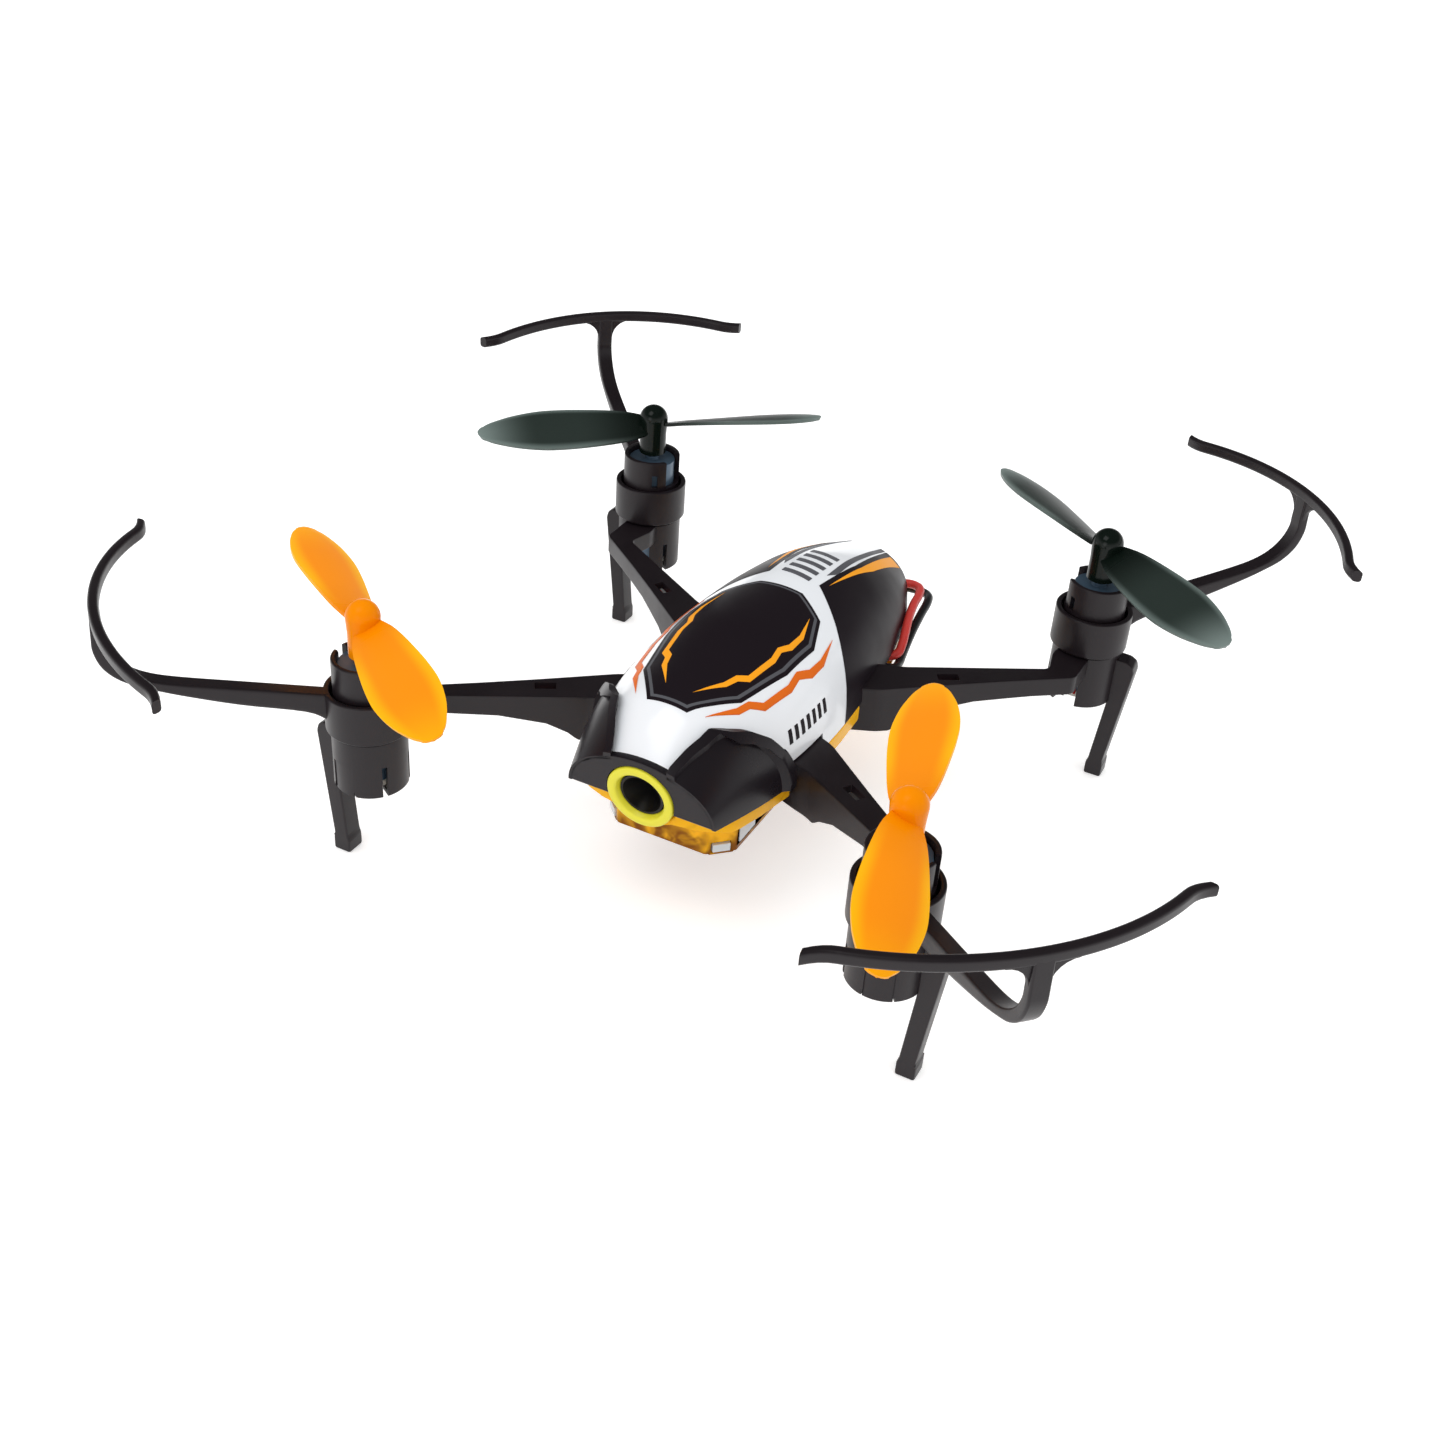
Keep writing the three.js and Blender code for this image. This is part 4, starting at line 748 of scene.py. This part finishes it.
# Canopy decals: printed film that stands 0.06 mm proud of the canopy, in plain shapes of flat colour.
# A dark cockpit with a pinstripe, dark side panels with an amber edge, and plain bars and dashes.
# A decal that lies on another one is lifted by a few hundredths of a millimetre.
film_height, film_depth, film_axis = 0.06, 0.05, 15
film = carved(canopy_block(film_height), "DIFFERENCE", canopy_core(-film_depth))


def decal(name, look, outlines, both_sides=False, lift=0.0, stand="xyz"):
    """Prints where prisms over the outlines, seen from above or from the side, meet the film."""
    low, high = (17, 40) if stand == "xyz" else (6, 20)
    prints = []
    for outline in outlines:
        for side in ((1, -1) if both_sides else (1,)):
            prism = placed(slab(outline, low, high, stand), flipped(side))
            prints.append(carved(film.copy(), "INTERSECT", prism))
    shape = together(*prints)
    for vert in shape.verts:
        vert.co += Vector((vert.co.x, 0, vert.co.z - film_axis)).normalized() * lift
    finished(name, shape, look, "airframe", "black_plastic", sharp=50)


def printed(name, colour):
    """Ink under a clear satin film: flat colour with hardly any shine or grain."""
    return finish(name, colour, (1.0, 0.003, 0.3, 0.4), IOR=1.5, Specular_IOR_Level=0.07)


def bar_at(y):
    """A slanting bar across the top, behind the cockpit."""
    return [(-2.3, y + 0.5), (2.3, y - 0.5), (2.3, y + 0.6), (-2.3, y + 1.6)]


def dash_at(y):
    """A slanting dash on the flank, as places along the body and heights."""
    return [(y, 23.7), (y + 0.7, 23.7), (y + 1.2, 25.3), (y + 0.5, 25.3)]


dark_print = printed("dark printed film", "#1D171C")
amber_print = printed("amber printed film", "#F8A21A")
orange_print = printed("orange printed film", "#E06A1A")
grey_print = printed("grey printed film", "#55565B")
panel = [(3.8, 11.8), (8.8, 6.8), (13.2, 2.0), (15, -0.6), (16, -0.6), (16, 39), (3.3, 39), (4.35, 23.2)]
panel_grey = [(3.3, 15.5), (2.4, 38.6), (3.1, 38.6), (4.1, 17.5)]
panel_amber = [(4.7, 13.2), (5.0, 24), (4.3, 37.6), (6.0, 37.6), (6.1, 26)]
cockpit = [(-2.8, -24.3), (2.8, -24.3), (7.0, -17.8), (8.9, -8.5), (9.2, -1), (7.4, 4.6), (3.2, 7.6),
           (-3.2, 7.6), (-7.4, 4.6), (-9.2, -1), (-8.9, -8.5), (-7.0, -17.8)]
cockpit_stripe = [(1.9, -21.2), (4.6, -17.4), (5.2, -15.4), (6.3, -14.2), (7.1, -8.6), (6.9, -6.4),
                  (7.6, -4.6), (7.6, -1.2), (6.3, 3.4), (7.0, -1.2), (6.9, -4.2), (6.2, -6.2), (6.4, -8.4),
                  (5.7, -13.5), (4.6, -14.7), (4.0, -17)]
side_stripe = [(4.9, -23.4), (7.6, -19.4), (8.1, -17.4), (9.4, -15.6), (10.3, -9.8), (10.1, -7.2),
               (10.9, -4.8), (10.9, -1.2), (9.7, 3.9), (10.3, -1.2), (10.2, -4.4), (9.4, -6.8), (9.6, -9.6),
               (8.8, -15), (7.5, -16.8), (7.0, -19)]
decal("side_panels", dark_print, [panel], True)
decal("panel_grey_edges", grey_print, [panel_grey], True)
decal("panel_amber_edges", amber_print, [panel_amber], True, 0.03)
decal("cockpit_patch", dark_print, [cockpit])
decal("cockpit_rim", grey_print, [grown(cockpit, -0.45)], lift=0.02)
decal("cockpit_glass", dark_print, [grown(cockpit, -0.85)], lift=0.04)
decal("cockpit_pinstripes", amber_print, [cockpit_stripe], True, 0.06)
decal("side_pinstripes", orange_print, [side_stripe], True, 0.02)
decal("top_bars", grey_print, [bar_at(12 + 2.4 * bar) for bar in range(5)], lift=0.02)
decal("side_dashes", dark_print, [dash_at(-14.4 + 1.5 * dash) for dash in range(7)], True, 0.02, "yzx")

# Nose hood: two cheeks and a leaning arched plate in one moulding of satin black ABS.
# It snaps over the canopy's nose, holds the camera's ring, and has a raised lip along its edges.
# The outlines are the edge of the bare nose from above, and the cheek and its lip from the side.
bare_edge = [(3.4, -34), (4.0, -30.3), (4.9, -28.3), (5.9, -26.5), (6.4, -25.1), (7.2, -23.5), (8.3, -22.2),
             (9.6, -20.8), (11, -19.6), (12.4, -18.3), (13.5, -17.2)]
cheek_side = [(plate_face(17.5), 17.5), (-16.6, 17.5), (-16.2, 19), (-15.9, 20), (-16.1, 22.4),
              (-17.1, 24.8), (-18.7, 26.9), (-21.2, 28.7), (-23.0, 29.2), (-25, 30), (plate_face(30), 30)]
lip_side = [(-17.6, 17), (-17.2, 20), (-17.4, 22.2), (-18.3, 24.1), (-19.8, 26), (-21.8, 27.4), (-23.4, 28),
            (-26, 31), (-34, 31), (-34, 17)]
lip_width, plate_back, ring_seat = 1.1, -28.3, 4.79
arch_half, arch_rise = 10.2, 7


def beside_nose(side, left, reach=0.0, corner=0.0):
    """The space within an outline seen from the side, from the right edge to a place on the left.

    The space over the canopy's bare nose, made wider by a reach, is left out of it.
    """
    left_edge = [(x + reach, y) for x, y in bare_edge]
    bare_nose = slab(left_edge + [(-x, y) for x, y in reversed(left_edge)], 16, 36)
    return carved(slab(side, -past_sides, left, "yzx", corner=corner), "DIFFERENCE", bare_nose)


# Satin ABS, moulded against a lightly eroded tool: black with a narrow soft shine along its edges.
black_abs = finish("satin black ABS", "#1A151A", (0.3, 0.01, 0.26, 0.36), IOR=1.53, Specular_IOR_Level=0.24)
cheeks = carved(carved(canopy_block(0.8), "DIFFERENCE", canopy_core(0.3)), "INTERSECT",
                beside_nose(cheek_side, past_sides, corner=0.5))
lip = carved(canopy_block(1.5), "DIFFERENCE", canopy_core(0.7))
lip = carved(lip, "INTERSECT", beside_nose(cheek_side, 0, corner=0.5))
lip = carved(lip, "DIFFERENCE", beside_nose(lip_side, 0, reach=lip_width))
other_lip = placed(lip.copy(), flipped(-1))
arch = [(arch_half * u, body_base + arch_rise * v) for u, v in arc(1, (0, 0), 0, 180, 48)]
lean_forward = Matrix.Identity(4)
lean_forward[1][2] = -math.tan(nose_lean)
plate = placed(slab(arch, plate_front, plate_back, "xzy", edge=0.18), moved(0, 0, -body_base), lean_forward,
               moved(0, 0, body_base))
plate = carved(plate, "DIFFERENCE",
               placed(turned([(0, -5), (ring_seat, -5), (ring_seat, 5), (0, 5)]), camera_place))
finished("nose_hood_moulding", together(cheeks, lip, other_lip, plate), black_abs, "airframe",
         "black_plastic", "nose_hood")

# Camera: a soft yellow ring round a black baffle with a small coated lens deep inside.
# The ring is pushed into the hood's plate; the baffle has fine steps that swallow stray light.
ring = turned([(3.12, -3), (4.64, -3), (4.64, 0.4), (3.5, 0.4), (3.12, -0.5)], steps=96, corner=0.25)
# Vinyl moulded soft: an even lemon yellow with a dull waxy sheen.
yellow_vinyl = finish("moulded yellow vinyl", "#E6DF33", (0.5, 0.01, 0.32, 0.45), IOR=1.5)
finished("ring_moulding", placed(ring, camera_place), yellow_vinyl, "airframe", "yellow_plastic",
         "camera_ring")

# Aluminium turned in steps and anodised black: hardly any light comes back from it.
baffle_black = finish("matt black anodised aluminium", "#0C0A0C", (0.2, 0.01, 0.35, 0.5), IOR=1.5,
                      Specular_IOR_Level=0.25)
mouth, step_depth, step_width = 2.7, 0.3, 0.14
baffle = [(1.3, -5.3), (3.02, -5.3), (3.02, -step_depth), (mouth, -step_depth)]
for step in range(10):
    front, back = -step_depth - step_depth * step, -step_depth - step_depth * (step + 1)
    baffle += [(mouth - step_width * step - 0.09, front - 0.22), (mouth - step_width * (step + 1), back)]
finished("lens_baffle", placed(turned(baffle, steps=64), camera_place), baffle_black, "airframe",
         "black_plastic", "lens_barrel")

# Ground and coated glass over a dark sensor: a deep blue-black with one sharp glint.
coated_glass = finish("coated optical glass", "#151A24", (2.0, 0.001, 0.03, 0.06), IOR=1.6, Coat_Weight=1.0,
                      Coat_Roughness=0.02)
lens_radius, lens_bulge = 1.2, 0.5
dome = [(lens_radius * u, -3.5 + lens_bulge * v) for u, v in arc(1, (0, 0), 0, 78.75, 7)]
lens = turned([(0, -5.0), (lens_radius, -5.0), *dome, (0, -3.0)], steps=48)
finished("lens_element", placed(lens, camera_place), coated_glass, "airframe", "lens_glass", "lens_glass")
dressed("camera_module", black_abs)

# Lower shell: the body's floor in amber polycarbonate, with four clear light windows let into it.
# It is moulded thin. Its gold and brown are painted light and shade: wide mottled patches of painted
# highlight and painted shade, and painted shade that darkens it towards the ground.
amber_pc, tree, shader = finish_of("amber polycarbonate", "#DC920C", IOR=1.5, Specular_IOR_Level=0.12)
place = grained(tree, shader, 0.8, 0.01, 0.16, 0.26)[0]
shell_foot, shell_rim = 0.0098, 0.018
height = add(tree, "ShaderNodeSeparateXYZ", {}, {"Vector": place}).outputs["Z"]
# Painted light and shade: wide mottled patches between brown and gold.
painted_light_and_shade = add(tree, "ShaderNodeTexNoise", {}, {"Vector": place, "Scale": 190.0, "Detail": 2.0,
                                               "Distortion": 1.5})
# Painted shade: the colour darkens towards the ground.
lift = graded(tree, height, shell_foot, shell_rim, -0.26, 0.3, "LINEAR")
lit = graded(tree, combined(tree, "ADD", painted_light_and_shade.outputs[0], lift), 0.22, 0.6)
tree.links.new(two_tone(tree, lit, "#824A00", "#FFBC1C"), shader.inputs["Base Color"])


def copied(node, edge):
    """A copy of a CAD node in mm, with its corners merged and its edges rounded."""
    shape = bmesh.new()
    shape.from_mesh(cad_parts[node].data)
    bmesh.ops.transform(shape, matrix=Matrix.Scale(1000, 4), verts=shape.verts)
    bmesh.ops.remove_doubles(shape, verts=shape.verts, dist=0.002)
    bmesh.ops.dissolve_limit(shape, angle_limit=math.radians(1), verts=shape.verts, edges=shape.edges)
    return softened(shape, edge)


finished("amber_floor_shell", copied("lower_shell", 0.3), amber_pc, "airframe", "amber_plastic",
         "lower_shell")
# Clear polycarbonate from a polished mould: a little see-through, with a near-white colour that is partly
# its own pale tint and partly a painted glint.
clear_pc = finish("clear polycarbonate", "#E6EDF2", (1.0, 0.003, 0.08, 0.16), IOR=1.58,
                  Transmission_Weight=0.2)
for kind in ("side", "corner"):
    for side in ("left", "right"):
        node = f"light_window_{kind}_{side}"
        finished(f"{node}_pane", copied(node, 0.1), clear_pc, "airframe", "clear_plastic", node)

# Electronics: glass-fibre boards held by four screws, a battery, and the plug and socket of its leads.
# They sit under the canopy, above the battery's tray and in the belly, and hardly show.
# Solder mask over copper traces: green, with paler lines in a grid about half a millimetre fine.
mask_green, tree, shader = finish_of("green solder mask", "#1C5B39", IOR=1.5)
place = grained(tree, shader, 0.4, 0.01, 0.25, 0.4)[0]
traces = add(tree, "ShaderNodeTexBrick", {}, {"Vector": place, "Scale": 400.0, "Color1": linear("#1C5B39"),
             "Color2": linear("#226A43"), "Mortar": linear("#2F7C50"), "Mortar Size": 0.03})
tree.links.new(traces.outputs["Color"], shader.inputs["Base Color"])
# Zinc plated on small steel screws: pale grey, a little cloudy.
zinc = finish("zinc-plated steel", "#B2B5BA", (0.2, 0.006, 0.22, 0.36), Metallic=1.0)
# Aluminium foil pressed round the cell: silver grey, with soft creases.
foil = finish("pouch foil", "#A9B1B8", (1.4, 0.04, 0.28, 0.45), Metallic=0.85)
inner_looks = {"flight_board": mask_green, "camera_board": mask_green, "battery": foil,
               "battery_plug": cap_nylon, "battery_socket": cap_nylon,
               **{f"board_screw_{i}": zinc for i in (1, 2, 3, 4)}}
for name, look in inner_looks.items():
    dressed(name, look)
